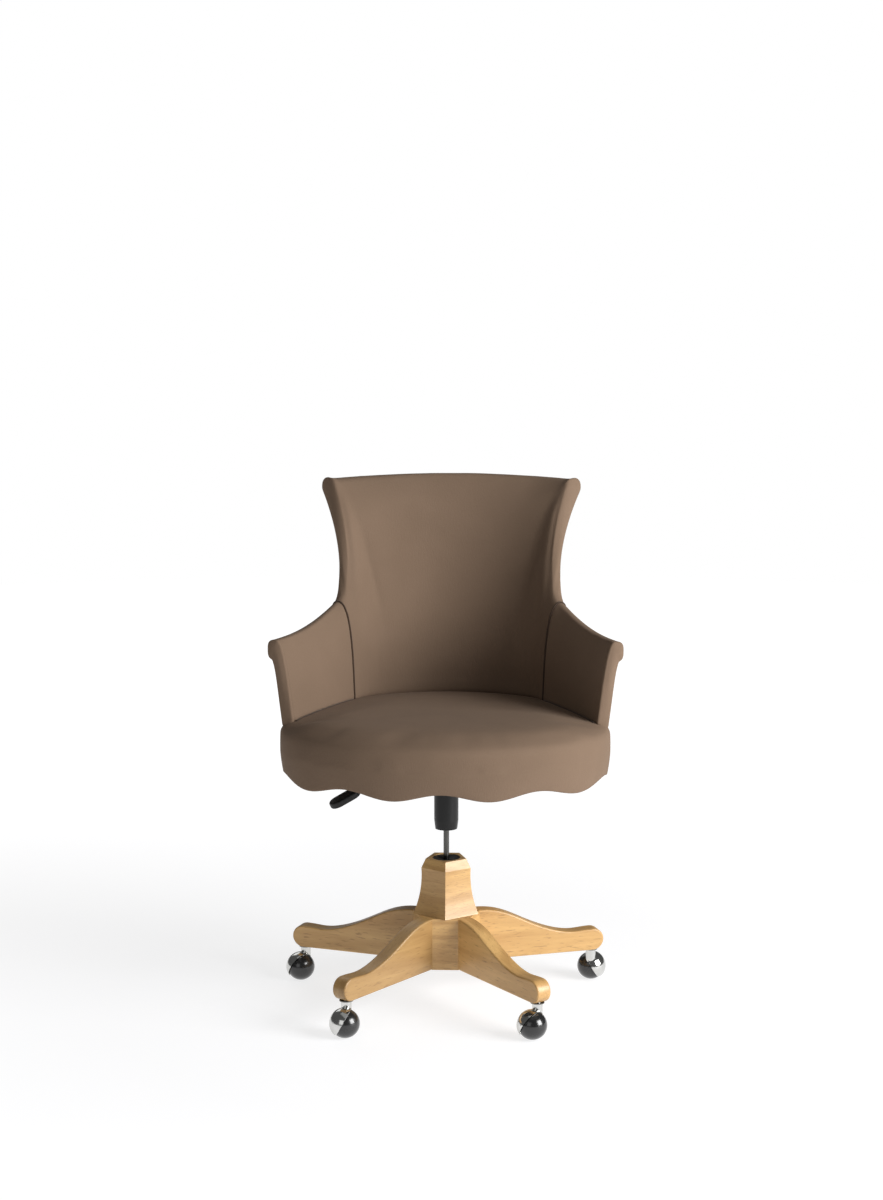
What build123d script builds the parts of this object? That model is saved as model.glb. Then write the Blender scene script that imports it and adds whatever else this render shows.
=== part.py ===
from build123d import *
import os
from math import asin, atan2, cos, degrees, hypot, pi, radians, sin, tan

# Swivel desk chair: an upholstered tub seat on a gas column, a five-leg oak base and ball casters.
# Millimetres. The origin is on the floor under the column, +Z is up and the seat's front faces -Y.

# Fits
RUNNING_CLEARANCE = 0.05
FREE_GAP = 0.3

# Oak base
LEG_COUNT = 5
FIRST_LEG_ANGLE = 18.0
LEG_THICKNESS = 28.0
LEG_UNDERSIDE = 62.0
LEG_ROOT_HEIGHT = 93.0
LEG_DIP_HEIGHT = 38.0
LEG_DIP_RADIUS = 238.0
LEG_TIP_HEIGHT = 40.0
LEG_EDGE_ROUND = 3.0
CASTER_RING = 275.0
HUB_LEG_FACE = 58.0
HUB_FOOT_RADIUS = 61.0
HUB_SHOULDER_RADIUS = 46.0
HUB_TOP_RADIUS = 38.0
HUB_FLARE_HEIGHT = 83.0
HUB_BEVEL_HEIGHT = 16.0
HUB_WAIST_RISE = 0.4
HUB_WAIST_FLARE = 0.25
HUB_POCKET_RADIUS = 36.0
HUB_POCKET_DEPTH = 50.0
DOWEL_RADIUS = 5.0
DOWEL_LENGTH = 48.0
DOWEL_LOW = 52.0
DOWEL_HIGH = 76.0
LEG_BOLT_RADIUS = 4.0
LEG_BOLT_LENGTH = 66.0
LEG_BOLT_RISE = 26.0
LEG_BOLT_HEAD_RADIUS = 6.5
LEG_BOLT_HEAD_HEIGHT = 5.5
SPOT_FACE_RADIUS = 8.0
SPOT_FACE_DEPTH = 1.0

# Ball casters
WHEEL_RADIUS = 25.0
WHEEL_TILT = 30.0
WHEEL_RIM_SETBACK = 3.0
CASTER_TRAIL = 14.0
HOOD_GAP = 0.8
HOOD_WALL = 1.5
HOOD_RIM_GAP = 1.0
HOOD_FLOOR_CLEARANCE = 9.0
AXLE_RADIUS = 3.0
AXLE_BOSS_RADIUS = 8.0
AXLE_IN_WHEEL = 12.0
AXLE_IN_HOOD = 20.0
STEM_RADIUS = 5.5
STEM_LENGTH = 30.0
STEM_BOSS_RADIUS = 9.0
STEM_SINK = 7.5
STEM_COLLAR_HEIGHT = 2.8
SOCKET_WALL = 1.5
SOCKET_FLANGE_RADIUS = 12.0
SOCKET_FLANGE = 1.4
SOCKET_SPARE_DEPTH = 2.0
CASTER_HEADINGS = (-95.0, 20.0, 55.0, 85.0, 55.0)

# Swivel column
ROD_RADIUS = 5.0
ROD_EXPOSED = 53.0
ROD_TAIL = 7.0
TUBE_RADIUS = 25.0
TUBE_WALL = 2.5
TUBE_TAPER = 0.4
TUBE_LENGTH = 138.0
TUBE_LIP_DROP = 1.0
TUBE_FLOOR = 6.0
BUSH_HEIGHT = 24.0
BUSH_DISH_RADIUS = 16.0
BUSH_DISH_DEPTH = 3.0
RACE_INNER_RADIUS = 7.0
RACE_RADIUS = 14.0
RACE_THICKNESS = 2.5
BALL_RADIUS = 2.0
BALL_COUNT = 10
BALL_CIRCLE = 10.5
CAGE_WALL = 1.2
CAGE_HEIGHT = 1.6
SHOULDER_RADIUS = 9.0
SHOULDER_HEIGHT = 4.0
CLIP_RADIUS = 9.0
CLIP_THICKNESS = 2.5
CLIP_GROOVE = 0.8
LIFT_UP = 50.0
LIFT_DOWN = 40.0

# Gas cylinder and its sleeve
SLEEVE_RADIUS = 21.5
SLEEVE_WALL = 2.5
SLEEVE_LENGTH = 105.0
SLEEVE_TOE_RADIUS = 19.5
SLEEVE_TOE_HEIGHT = 16.0
CYLINDER_RADIUS = 14.0
CYLINDER_WALL = 2.0
CYLINDER_CAP = 6.0
CYLINDER_PLUG = 18.0
CYLINDER_STANDUP = 28.0
PISTON_HEIGHT = 10.0
PISTON_MARGIN = 1.0
PISTON_TENON_RADIUS = 4.0
PISTON_TENON = 7.0
VALVE_RADIUS = 3.0
VALVE_PROUD = 6.0
VALVE_SEAT = 10.0
VALVE_BORE = 14.0

# Seat plate
PAN_WIDTH = 96.0
PAN_LENGTH = 130.0
PAN_DEPTH = 37.0
PAN_GAUGE = 3.0
PLATE_WIDTH = 180.0
PLATE_LENGTH = 200.0
PLATE_CORNER = 14.0
SOCKET_DROP = 14.0
SOCKET_STANDUP = 22.0
PLATE_BOLT_SPACING_X = 150.0
PLATE_BOLT_SPACING_Y = 170.0
PLATE_BOLT_RADIUS = 4.0
PLATE_BOLT_REACH = 12.0
PLATE_BOLT_HEAD_RADIUS = 7.0
PLATE_BOLT_HEAD = 5.5
TEE_NUT_WALL = 1.5
TEE_NUT_FLANGE_RADIUS = 11.0
TEE_NUT_FLANGE = 1.5
TEE_NUT_BARREL = 12.0

# Height lever
LEVER_HEADING = 200.0
LEVER_ROD_RADIUS = 4.0
PIVOT_REACH = 32.0
PIVOT_DROP = 3.0
PIVOT_RADIUS = 2.0
EAR_WIDTH = 12.0
EAR_THICKNESS = 3.0
EAR_GAP = 0.6
EAR_ABOVE_PIVOT = 5.0
TONGUE_OVERHANG = 8.0
TONGUE_LENGTH = 32.0
TONGUE_WIDTH = 10.0
TONGUE_THICKNESS = 4.0
LEVER_SWING = 5.4
LEVER_SLOT_MARGIN = 1.5
LEVER_BEND_RADIUS = 14.0
LEVER_ELBOW_REACH = 128.0
LEVER_ELBOW_DROP = 40.0
LEVER_SLOPE = 26.0
LEVER_TAIL = 52.0
PADDLE_LENGTH = 58.0
PADDLE_WIDTH = 34.0
PADDLE_THICKNESS = 12.0
PADDLE_GRIP = 17.0
PADDLE_ROUND = 3.5

# Seat
SEAT_HALF_WIDTH = 286.0
SEAT_FRONT = 205.0
SEAT_REAR = 310.0
SEAT_CENTRE_Y = -60.0
BOARD_THICKNESS = 15.0
CUSHION_HEIGHT = 56.0
CUSHION_TUCK = 1.5
CUSHION_SIDE = 14.0
CUSHION_CROWN = 200.0
CROWN_POWER = 0.5
APRON_THICKNESS = 14.0
APRON_DROP = 39.0
APRON_TUCK = 5.0
LOBE_COUNT = 10
LOBE_DEPTH = 13.0
DUST_COVER_THICKNESS = 1.0
DUST_COVER_INSET = 6.0
DUST_COVER_MARGIN = 2.0

# Tub: back and arms
BACK_SETBACK = 35.0
BACK_PLAN_RADIUS = 272.0
CORNER_INSET = 214.0
CORNER_RADIUS = 95.0
ARM_HEADING = 66.0
SEAM_SETBACK = 25.0
ARM_RUN = 214.0
FACING_THICKNESS = 6.0
WALL_THICKNESS = 24.0
WALL_SINK = 33.0
ROLL_SWEEP = 150.0
ROLL_NOTCH = 2.5
WALL_BEND = 0.55
LEAST_FLARE = 0.8
LIP_DRAW = 0.12
CREST_RISE = 448.0
CREST_REACH = 97.0
CREST_LEAN = 0.12
CREST_ROLL = 16.0
HORN_HEADING = 48.0
HORN_RISE = 434.0
HORN_REACH = 127.0
HORN_LEAN = 0.08
SEAM_RISE = 226.0
SEAM_REACH = 45.0
SEAM_LEAN = 0.03
SEAM_ROLL = 11.0
ARM_FRONT_RISE = 182.0
ARM_FRONT_REACH = 54.0
ARM_FRONT_LEAN = 0.14
ARM_FRONT_ROLL = 18.0
SIDE_SLOPE = 0.13
SIDE_POWER = 2.6
RIM_POWER = 5
ARM_POWER = 2.2
CORE_THICKNESS = 8.0
CORE_SHARE = 0.7
CORE_END_SETBACK = 18.0
CORE_SCREW_RADIUS = 2.0
CORE_SCREW_BITE = 30.0
CORE_SCREW_HEAD_RADIUS = 4.0
CORE_SCREW_HEAD = 3.0
CORE_SCREW_BACK_SHARE = 0.7
CORE_SCREW_ARM_SHARES = (0.2, 0.8)

# Heights that follow from the sizes above
LEG_ROOT_TOP = LEG_UNDERSIDE + LEG_ROOT_HEIGHT
HUB_SHOULDER = LEG_ROOT_TOP + HUB_FLARE_HEIGHT
HUB_TOP = HUB_SHOULDER + HUB_BEVEL_HEIGHT
TUBE_TOP = HUB_TOP - TUBE_LIP_DROP
TUBE_BOTTOM = TUBE_TOP - TUBE_LENGTH
TUBE_FLOOR_TOP = TUBE_BOTTOM + TUBE_FLOOR
BALL_CENTRE = TUBE_FLOOR_TOP + RACE_THICKNESS + BALL_RADIUS
UPPER_RACE = BALL_CENTRE + BALL_RADIUS + RUNNING_CLEARANCE
SHOULDER = UPPER_RACE + RACE_THICKNESS
CLIP_TOP = TUBE_BOTTOM - FREE_GAP
CLIP_BOTTOM = CLIP_TOP - CLIP_THICKNESS
SLEEVE_BOTTOM = HUB_TOP + ROD_EXPOSED
PAN_BOTTOM = SLEEVE_BOTTOM + SLEEVE_LENGTH
PLATE_UNDERSIDE = PAN_BOTTOM + PAN_DEPTH
BOARD_UNDERSIDE = PLATE_UNDERSIDE + PAN_GAUGE
BOARD_TOP = BOARD_UNDERSIDE + BOARD_THICKNESS
CYLINDER_TOP = PAN_BOTTOM + CYLINDER_STANDUP
PISTON_TOP = CYLINDER_TOP - CYLINDER_PLUG - LIFT_DOWN - PISTON_MARGIN
PISTON_BOTTOM = PISTON_TOP - PISTON_HEIGHT
CYLINDER_BOTTOM = PISTON_BOTTOM - LIFT_UP - PISTON_MARGIN - CYLINDER_CAP
VALVE_TOP = CYLINDER_TOP + VALVE_PROUD
PIVOT_HEIGHT = VALVE_TOP - PIVOT_DROP
TONGUE_UNDERSIDE = VALVE_TOP + FREE_GAP
APRON_BOTTOM = BOARD_TOP - BOARD_THICKNESS - APRON_DROP
WALL_FOOT = BOARD_TOP + CUSHION_HEIGHT - WALL_SINK

os.makedirs("parts", exist_ok=True)


def save(piece, label):
    """Name a finished piece and write it as its own file."""
    piece.label = label
    export_step(piece, f"parts/{label}.step")


def turned(*points):
    """Closed outline of radius and height pairs, ready to turn about an upright axis."""
    with BuildSketch(Plane.XZ) as profile:
        with BuildLine():
            Polyline(*points, close=True)
        make_face()
    return profile.sketch


def upright_plane(angle):
    """Upright plane through the column axis: across is the radius, up is the height."""
    turn = radians(angle)
    return Plane(origin=(0, 0, 0), x_dir=(cos(turn), sin(turn), 0), z_dir=(sin(turn), -cos(turn), 0))


def outward_plane(angle, radius, height):
    """Plane at a radius from the column axis that faces straight outward."""
    turn = radians(angle)
    return Plane(
        origin=(radius * cos(turn), radius * sin(turn), height),
        x_dir=(-sin(turn), cos(turn), 0),
        z_dir=(cos(turn), sin(turn), 0),
    )


# Oak hub and legs
LEG_ANGLES = [FIRST_LEG_ANGLE + index * 360.0 / LEG_COUNT for index in range(LEG_COUNT)]
HALF_STEP = 180.0 / LEG_COUNT
DOWEL_HEIGHTS = (LEG_UNDERSIDE + DOWEL_LOW, LEG_UNDERSIDE + DOWEL_HIGH)
LEG_BOLT_HEIGHT = LEG_UNDERSIDE + LEG_BOLT_RISE
SPOT_FACE = HUB_POCKET_RADIUS + SPOT_FACE_DEPTH
SOCKET_RADIUS = STEM_RADIUS + RUNNING_CLEARANCE + SOCKET_WALL
SOCKET_TOP = LEG_UNDERSIDE + STEM_LENGTH + SOCKET_SPARE_DEPTH


def tube_radius(height):
    """Outer radius of the tapered stand tube at a height."""
    return TUBE_RADIUS - (TUBE_TOP - height) * tan(radians(TUBE_TAPER))


def pentagon(radius, height):
    """Hub outline with a flat over every leg."""
    with BuildSketch(Plane.XY.offset(height)) as outline:
        RegularPolygon(radius, LEG_COUNT, rotation=FIRST_LEG_ANGLE + HALF_STEP)
    return outline.sketch


def hub_core():
    """Ten-sided foot of the hub: a narrow flat behind each leg and a wide one between legs."""
    half = LEG_THICKNESS / 2
    corners = []
    for angle in LEG_ANGLES:
        turn = radians(angle)
        for side in (-half, half):
            x = HUB_LEG_FACE * cos(turn) - side * sin(turn)
            y = HUB_LEG_FACE * sin(turn) + side * cos(turn)
            corners.append((x, y))
    with BuildSketch(Plane.XY.offset(LEG_UNDERSIDE)) as outline:
        with BuildLine():
            Polyline(*corners, close=True)
        make_face()
    return outline.sketch


def leg_outline(angle):
    """Side view of a leg: a swept ogee top, a round nose and a flat underside."""
    nose = LEG_TIP_HEIGHT / 2
    root_top = (HUB_LEG_FACE, LEG_ROOT_TOP)
    dip = (LEG_DIP_RADIUS, LEG_UNDERSIDE + LEG_DIP_HEIGHT)
    middle = ((root_top[0] + dip[0]) / 2, (root_top[1] + dip[1]) / 2)
    nose_top = (CASTER_RING, LEG_UNDERSIDE + LEG_TIP_HEIGHT)
    nose_end = (CASTER_RING + nose, LEG_UNDERSIDE + nose)
    nose_bottom = (CASTER_RING, LEG_UNDERSIDE)
    root_bottom = (HUB_LEG_FACE, LEG_UNDERSIDE)
    with BuildSketch(upright_plane(angle)) as outline:
        with BuildLine():
            Spline(root_top, middle, dip, nose_top, tangents=((1, 0), (1, 0)))
            ThreePointArc(nose_top, nose_end, nose_bottom)
            Polyline(nose_bottom, root_bottom, root_top)
        make_face()
    return outline.sketch


dowel_seats = [outward_plane(angle, HUB_LEG_FACE, height) for angle in LEG_ANGLES for height in DOWEL_HEIGHTS]
bolt_seats = [outward_plane(angle, SPOT_FACE, LEG_BOLT_HEIGHT) for angle in LEG_ANGLES]
caster_seats = [outward_plane(angle, CASTER_RING, LEG_UNDERSIDE).origin for angle in LEG_ANGLES]
FROM_SEAT = (Align.CENTER, Align.CENTER, Align.MIN)
UP_TO_SEAT = (Align.CENTER, Align.CENTER, Align.MAX)

with BuildPart() as hub:
    extrude(hub_core(), amount=LEG_ROOT_HEIGHT)
    flare_middle = LEG_ROOT_TOP + HUB_FLARE_HEIGHT * HUB_WAIST_RISE
    flare_neck = HUB_SHOULDER_RADIUS + (HUB_FOOT_RADIUS - HUB_SHOULDER_RADIUS) * HUB_WAIST_FLARE
    loft(
        sections=[
            pentagon(HUB_FOOT_RADIUS, LEG_ROOT_TOP),
            pentagon(flare_neck, flare_middle),
            pentagon(HUB_SHOULDER_RADIUS, HUB_SHOULDER),
        ]
    )
    loft(sections=[pentagon(HUB_SHOULDER_RADIUS, HUB_SHOULDER), pentagon(HUB_TOP_RADIUS, HUB_TOP)])
    pocket_top = LEG_UNDERSIDE + HUB_POCKET_DEPTH
    revolve(
        turned(
            (0, pocket_top),
            (tube_radius(pocket_top), pocket_top),
            (tube_radius(HUB_TOP), HUB_TOP),
            (0, HUB_TOP),
        ),
        axis=Axis.Z,
        mode=Mode.SUBTRACT,
    )
    with Locations((0, 0, LEG_UNDERSIDE)):
        Cylinder(HUB_POCKET_RADIUS, HUB_POCKET_DEPTH, align=FROM_SEAT, mode=Mode.SUBTRACT)
    with Locations(*dowel_seats):
        Cylinder(DOWEL_RADIUS, DOWEL_LENGTH, mode=Mode.SUBTRACT)
    with Locations(*bolt_seats):
        Cylinder(LEG_BOLT_RADIUS, LEG_BOLT_LENGTH, align=FROM_SEAT, mode=Mode.SUBTRACT)
        Cylinder(SPOT_FACE_RADIUS, SPOT_FACE_RADIUS, align=UP_TO_SEAT, mode=Mode.SUBTRACT)
save(hub.part, "hub")

for index, angle in enumerate(LEG_ANGLES):
    with BuildPart() as leg:
        extrude(leg_outline(angle), amount=LEG_THICKNESS / 2, both=True)
        long_edges = leg.edges().filter_by(Axis.Z, reverse=True)
        fillet(long_edges.filter_by(lambda edge: edge.length > LEG_THICKNESS + 1), LEG_EDGE_ROUND)
        with Locations(*dowel_seats[2 * index:2 * index + 2]):
            Cylinder(DOWEL_RADIUS, DOWEL_LENGTH, mode=Mode.SUBTRACT)
        with Locations(bolt_seats[index]):
            Cylinder(LEG_BOLT_RADIUS, LEG_BOLT_LENGTH, align=FROM_SEAT, mode=Mode.SUBTRACT)
        with Locations(caster_seats[index]):
            Cylinder(SOCKET_RADIUS, SOCKET_TOP - LEG_UNDERSIDE, align=FROM_SEAT, mode=Mode.SUBTRACT)
    save(leg.part, f"leg_{index + 1}")

with BuildPart() as leg_dowels:
    with Locations(*dowel_seats):
        Cylinder(DOWEL_RADIUS, DOWEL_LENGTH)
save(leg_dowels.part, "leg_dowels")

with BuildPart() as leg_bolts:
    with Locations(*bolt_seats):
        Cylinder(LEG_BOLT_RADIUS, LEG_BOLT_LENGTH, align=FROM_SEAT)
        Cylinder(LEG_BOLT_HEAD_RADIUS, LEG_BOLT_HEAD_HEIGHT, align=UP_TO_SEAT)
save(leg_bolts.part, "leg_bolts")

with BuildPart() as caster_sockets:
    with Locations(*caster_seats):
        Cylinder(SOCKET_RADIUS, SOCKET_TOP - LEG_UNDERSIDE, align=FROM_SEAT)
        Cylinder(SOCKET_FLANGE_RADIUS, SOCKET_FLANGE, align=UP_TO_SEAT)
        Cylinder(STEM_RADIUS + RUNNING_CLEARANCE, 3 * STEM_LENGTH, mode=Mode.SUBTRACT)
save(caster_sockets.part, "caster_sockets")

# Stand tube, bearing and piston rod
TUBE_BORE = TUBE_RADIUS - TUBE_WALL
ROD_BORE = ROD_RADIUS + RUNNING_CLEARANCE

with BuildPart() as stand_tube:
    revolve(
        turned(
            (ROD_BORE, TUBE_BOTTOM),
            (tube_radius(TUBE_BOTTOM), TUBE_BOTTOM),
            (TUBE_RADIUS, TUBE_TOP),
            (TUBE_BORE, TUBE_TOP),
            (TUBE_BORE - TUBE_LENGTH * tan(radians(TUBE_TAPER)), TUBE_FLOOR_TOP),
            (ROD_BORE, TUBE_FLOOR_TOP),
        ),
        axis=Axis.Z,
    )
save(stand_tube.part, "stand_tube")

with BuildPart() as guide_bush:
    bore_taper = TUBE_LENGTH * tan(radians(TUBE_TAPER)) / (TUBE_TOP - TUBE_FLOOR_TOP)
    bore_at_bush = TUBE_BORE - BUSH_HEIGHT * bore_taper
    revolve(
        turned(
            (ROD_BORE, TUBE_TOP - BUSH_HEIGHT),
            (bore_at_bush, TUBE_TOP - BUSH_HEIGHT),
            (TUBE_BORE, TUBE_TOP),
            (BUSH_DISH_RADIUS, TUBE_TOP),
            (ROD_BORE, TUBE_TOP - BUSH_DISH_DEPTH),
        ),
        axis=Axis.Z,
    )
save(guide_bush.part, "guide_bush")

with BuildPart() as lower_race:
    with BuildSketch(Plane.XY.offset(TUBE_FLOOR_TOP)):
        Circle(RACE_RADIUS)
        Circle(RACE_INNER_RADIUS, mode=Mode.SUBTRACT)
    extrude(amount=RACE_THICKNESS)
save(lower_race.part, "lower_race")

with BuildPart() as bearing_balls:
    with Locations((0, 0, BALL_CENTRE)):
        with PolarLocations(BALL_CIRCLE, BALL_COUNT):
            Sphere(BALL_RADIUS)
save(bearing_balls.part, "bearing_balls")

with BuildPart() as bearing_cage:
    with BuildSketch(Plane.XY.offset(BALL_CENTRE - CAGE_HEIGHT / 2)):
        Circle(BALL_CIRCLE + BALL_RADIUS + CAGE_WALL)
        Circle(BALL_CIRCLE - BALL_RADIUS - CAGE_WALL, mode=Mode.SUBTRACT)
        with PolarLocations(BALL_CIRCLE, BALL_COUNT):
            Circle(BALL_RADIUS + RUNNING_CLEARANCE, mode=Mode.SUBTRACT)
    extrude(amount=CAGE_HEIGHT)
save(bearing_cage.part, "bearing_cage")

with BuildPart() as upper_race:
    with BuildSketch(Plane.XY.offset(UPPER_RACE)):
        Circle(RACE_RADIUS)
        Circle(ROD_RADIUS, mode=Mode.SUBTRACT)
    extrude(amount=RACE_THICKNESS)
save(upper_race.part, "upper_race")

with BuildPart() as piston_rod:
    groove = ROD_RADIUS - CLIP_GROOVE
    revolve(
        turned(
            (0, CLIP_BOTTOM - ROD_TAIL),
            (ROD_RADIUS, CLIP_BOTTOM - ROD_TAIL),
            (ROD_RADIUS, CLIP_BOTTOM),
            (groove, CLIP_BOTTOM),
            (groove, CLIP_TOP),
            (ROD_RADIUS, CLIP_TOP),
            (ROD_RADIUS, SHOULDER),
            (SHOULDER_RADIUS, SHOULDER),
            (SHOULDER_RADIUS, SHOULDER + SHOULDER_HEIGHT),
            (ROD_RADIUS, SHOULDER + SHOULDER_HEIGHT),
            (ROD_RADIUS, PISTON_BOTTOM),
            (PISTON_TENON_RADIUS, PISTON_BOTTOM),
            (PISTON_TENON_RADIUS, PISTON_BOTTOM + PISTON_TENON),
            (0, PISTON_BOTTOM + PISTON_TENON),
        ),
        axis=Axis.Z,
    )
save(piston_rod.part, "piston_rod")

with BuildPart() as rod_clip:
    with BuildSketch(Plane.XY.offset(CLIP_BOTTOM)):
        Circle(CLIP_RADIUS)
        Circle(ROD_RADIUS - CLIP_GROOVE, mode=Mode.SUBTRACT)
    extrude(amount=CLIP_THICKNESS)
save(rod_clip.part, "rod_clip")

CYLINDER_BORE = CYLINDER_RADIUS - CYLINDER_WALL

with BuildPart() as piston:
    with Locations((0, 0, PISTON_BOTTOM)):
        Cylinder(CYLINDER_BORE - RUNNING_CLEARANCE, PISTON_HEIGHT, align=FROM_SEAT)
        Cylinder(PISTON_TENON_RADIUS, PISTON_TENON, align=FROM_SEAT, mode=Mode.SUBTRACT)
save(piston.part, "piston")

# Gas cylinder, sleeve and valve pin
with BuildPart() as gas_cylinder:
    revolve(
        turned(
            (ROD_BORE, CYLINDER_BOTTOM),
            (CYLINDER_RADIUS, CYLINDER_BOTTOM),
            (CYLINDER_RADIUS, CYLINDER_TOP),
            (VALVE_RADIUS + RUNNING_CLEARANCE, CYLINDER_TOP),
            (VALVE_RADIUS + RUNNING_CLEARANCE, CYLINDER_TOP - VALVE_BORE),
            (0, CYLINDER_TOP - VALVE_BORE),
            (0, CYLINDER_TOP - CYLINDER_PLUG),
            (CYLINDER_BORE, CYLINDER_TOP - CYLINDER_PLUG),
            (CYLINDER_BORE, CYLINDER_BOTTOM + CYLINDER_CAP),
            (ROD_BORE, CYLINDER_BOTTOM + CYLINDER_CAP),
        ),
        axis=Axis.Z,
    )
save(gas_cylinder.part, "gas_cylinder")

SLEEVE_BORE = SLEEVE_RADIUS - SLEEVE_WALL

with BuildPart() as column_sleeve:
    revolve(
        turned(
            (SLEEVE_TOE_RADIUS - SLEEVE_WALL, SLEEVE_BOTTOM),
            (SLEEVE_TOE_RADIUS, SLEEVE_BOTTOM),
            (SLEEVE_RADIUS, SLEEVE_BOTTOM + SLEEVE_TOE_HEIGHT),
            (SLEEVE_RADIUS, PAN_BOTTOM),
            (SLEEVE_BORE, PAN_BOTTOM),
            (SLEEVE_BORE, SLEEVE_BOTTOM + SLEEVE_TOE_HEIGHT),
        ),
        axis=Axis.Z,
    )
save(column_sleeve.part, "column_sleeve")

with BuildPart() as valve_pin:
    with Locations((0, 0, VALVE_TOP)):
        Cylinder(VALVE_RADIUS, VALVE_PROUD + VALVE_SEAT, align=UP_TO_SEAT)
save(valve_pin.part, "valve_pin")

# Seat plate with its lever ears, bolts and tee nuts
lever_side = upright_plane(LEVER_HEADING)
EAR_INNER = LEVER_ROD_RADIUS + EAR_GAP
EAR_OUTER = EAR_INNER + EAR_THICKNESS
PAN_FLOOR = PAN_BOTTOM + PAN_GAUGE
EAR_TOP = PIVOT_HEIGHT + EAR_ABOVE_PIVOT
SLOT_REACH = (PAN_WIDTH / 2) / cos(radians(LEVER_HEADING - 180))
lever_fall = atan2(LEVER_ELBOW_DROP, LEVER_ELBOW_REACH - PIVOT_REACH)
SLOT_HEIGHT = PIVOT_HEIGHT - (SLOT_REACH - PIVOT_REACH) * tan(lever_fall)
SLOT_TRAVEL = (SLOT_REACH - PIVOT_REACH) * tan(radians(LEVER_SWING))
SLOT_HALF_HEIGHT = LEVER_ROD_RADIUS / cos(lever_fall) + SLOT_TRAVEL + LEVER_SLOT_MARGIN
pivot_seat = lever_side.offset(0)
pivot_seat.origin = lever_side.from_local_coords((PIVOT_REACH, PIVOT_HEIGHT, 0))


def ear_outline(offset):
    """One upright ear beside the lever, at an offset along the pivot."""
    with BuildSketch(lever_side.offset(offset)) as outline:
        with Locations((PIVOT_REACH, (PAN_FLOOR + EAR_TOP) / 2)):
            Rectangle(EAR_WIDTH, EAR_TOP - PAN_FLOOR)
    return outline.sketch


with BuildPart() as seat_plate:
    with BuildSketch(Plane.XY.offset(PLATE_UNDERSIDE)):
        RectangleRounded(PLATE_WIDTH, PLATE_LENGTH, PLATE_CORNER)
        with GridLocations(PLATE_BOLT_SPACING_X, PLATE_BOLT_SPACING_Y, 2, 2):
            Circle(PLATE_BOLT_RADIUS, mode=Mode.SUBTRACT)
    extrude(amount=PAN_GAUGE)
    with BuildSketch(Plane.XY.offset(PAN_BOTTOM)):
        RectangleRounded(PAN_WIDTH, PAN_LENGTH, PLATE_CORNER)
    extrude(amount=PAN_DEPTH + PAN_GAUGE)
    with BuildSketch(Plane.XY.offset(PAN_FLOOR)):
        RectangleRounded(PAN_WIDTH - 2 * PAN_GAUGE, PAN_LENGTH - 2 * PAN_GAUGE, PLATE_CORNER - PAN_GAUGE)
    extrude(amount=PAN_DEPTH, mode=Mode.SUBTRACT)
    with Locations((0, 0, PAN_BOTTOM - SOCKET_DROP)):
        Cylinder(SLEEVE_BORE, SOCKET_DROP + SOCKET_STANDUP, align=FROM_SEAT)
        Cylinder(CYLINDER_RADIUS, SOCKET_DROP + PAN_DEPTH, align=FROM_SEAT, mode=Mode.SUBTRACT)
    extrude(ear_outline(EAR_INNER), amount=EAR_THICKNESS)
    extrude(ear_outline(-EAR_OUTER), amount=EAR_THICKNESS)
    with Locations(pivot_seat):
        Cylinder(PIVOT_RADIUS, 4 * EAR_OUTER, mode=Mode.SUBTRACT)
    with BuildSketch(lever_side):
        with Locations((SLOT_REACH, SLOT_HEIGHT)):
            Rectangle(4 * PAN_GAUGE, 2 * SLOT_HALF_HEIGHT)
    extrude(amount=2 * LEVER_ROD_RADIUS, both=True, mode=Mode.SUBTRACT)
save(seat_plate.part, "seat_plate")

with BuildPart() as lever_pin:
    with Locations(pivot_seat):
        Cylinder(PIVOT_RADIUS, 2 * EAR_OUTER)
save(lever_pin.part, "lever_pin")

with BuildPart() as plate_bolts:
    with Locations((0, 0, PLATE_UNDERSIDE)):
        with GridLocations(PLATE_BOLT_SPACING_X, PLATE_BOLT_SPACING_Y, 2, 2):
            Cylinder(PLATE_BOLT_RADIUS, PAN_GAUGE + PLATE_BOLT_REACH, align=FROM_SEAT)
            Cylinder(PLATE_BOLT_HEAD_RADIUS, PLATE_BOLT_HEAD, align=UP_TO_SEAT)
save(plate_bolts.part, "plate_bolts")

with BuildPart() as tee_nuts:
    with Locations((0, 0, BOARD_TOP)):
        with GridLocations(PLATE_BOLT_SPACING_X, PLATE_BOLT_SPACING_Y, 2, 2):
            Cylinder(TEE_NUT_FLANGE_RADIUS, TEE_NUT_FLANGE, align=UP_TO_SEAT)
            Cylinder(PLATE_BOLT_RADIUS + TEE_NUT_WALL, TEE_NUT_BARREL, align=UP_TO_SEAT)
            Cylinder(PLATE_BOLT_RADIUS, 3 * BOARD_THICKNESS, mode=Mode.SUBTRACT)
save(tee_nuts.part, "tee_nuts")

# Height lever
slope = radians(LEVER_SLOPE)
elbow = (LEVER_ELBOW_REACH, PIVOT_HEIGHT - LEVER_ELBOW_DROP)
rod_end = (elbow[0] + LEVER_TAIL * cos(slope), elbow[1] - LEVER_TAIL * sin(slope))
rod_start = (TONGUE_LENGTH - TONGUE_OVERHANG - TONGUE_THICKNESS, TONGUE_UNDERSIDE)
slope_out = (cos(radians(LEVER_HEADING)) * cos(slope), sin(radians(LEVER_HEADING)) * cos(slope), -sin(slope))
paddle_run = LEVER_TAIL - PADDLE_GRIP + PADDLE_LENGTH / 2
paddle_middle = (elbow[0] + paddle_run * cos(slope), elbow[1] - paddle_run * sin(slope))
paddle_plane = Plane(
    origin=lever_side.from_local_coords((*paddle_middle, 0)),
    x_dir=slope_out,
    z_dir=lever_side.z_dir.cross(Vector(*slope_out)),
)

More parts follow.
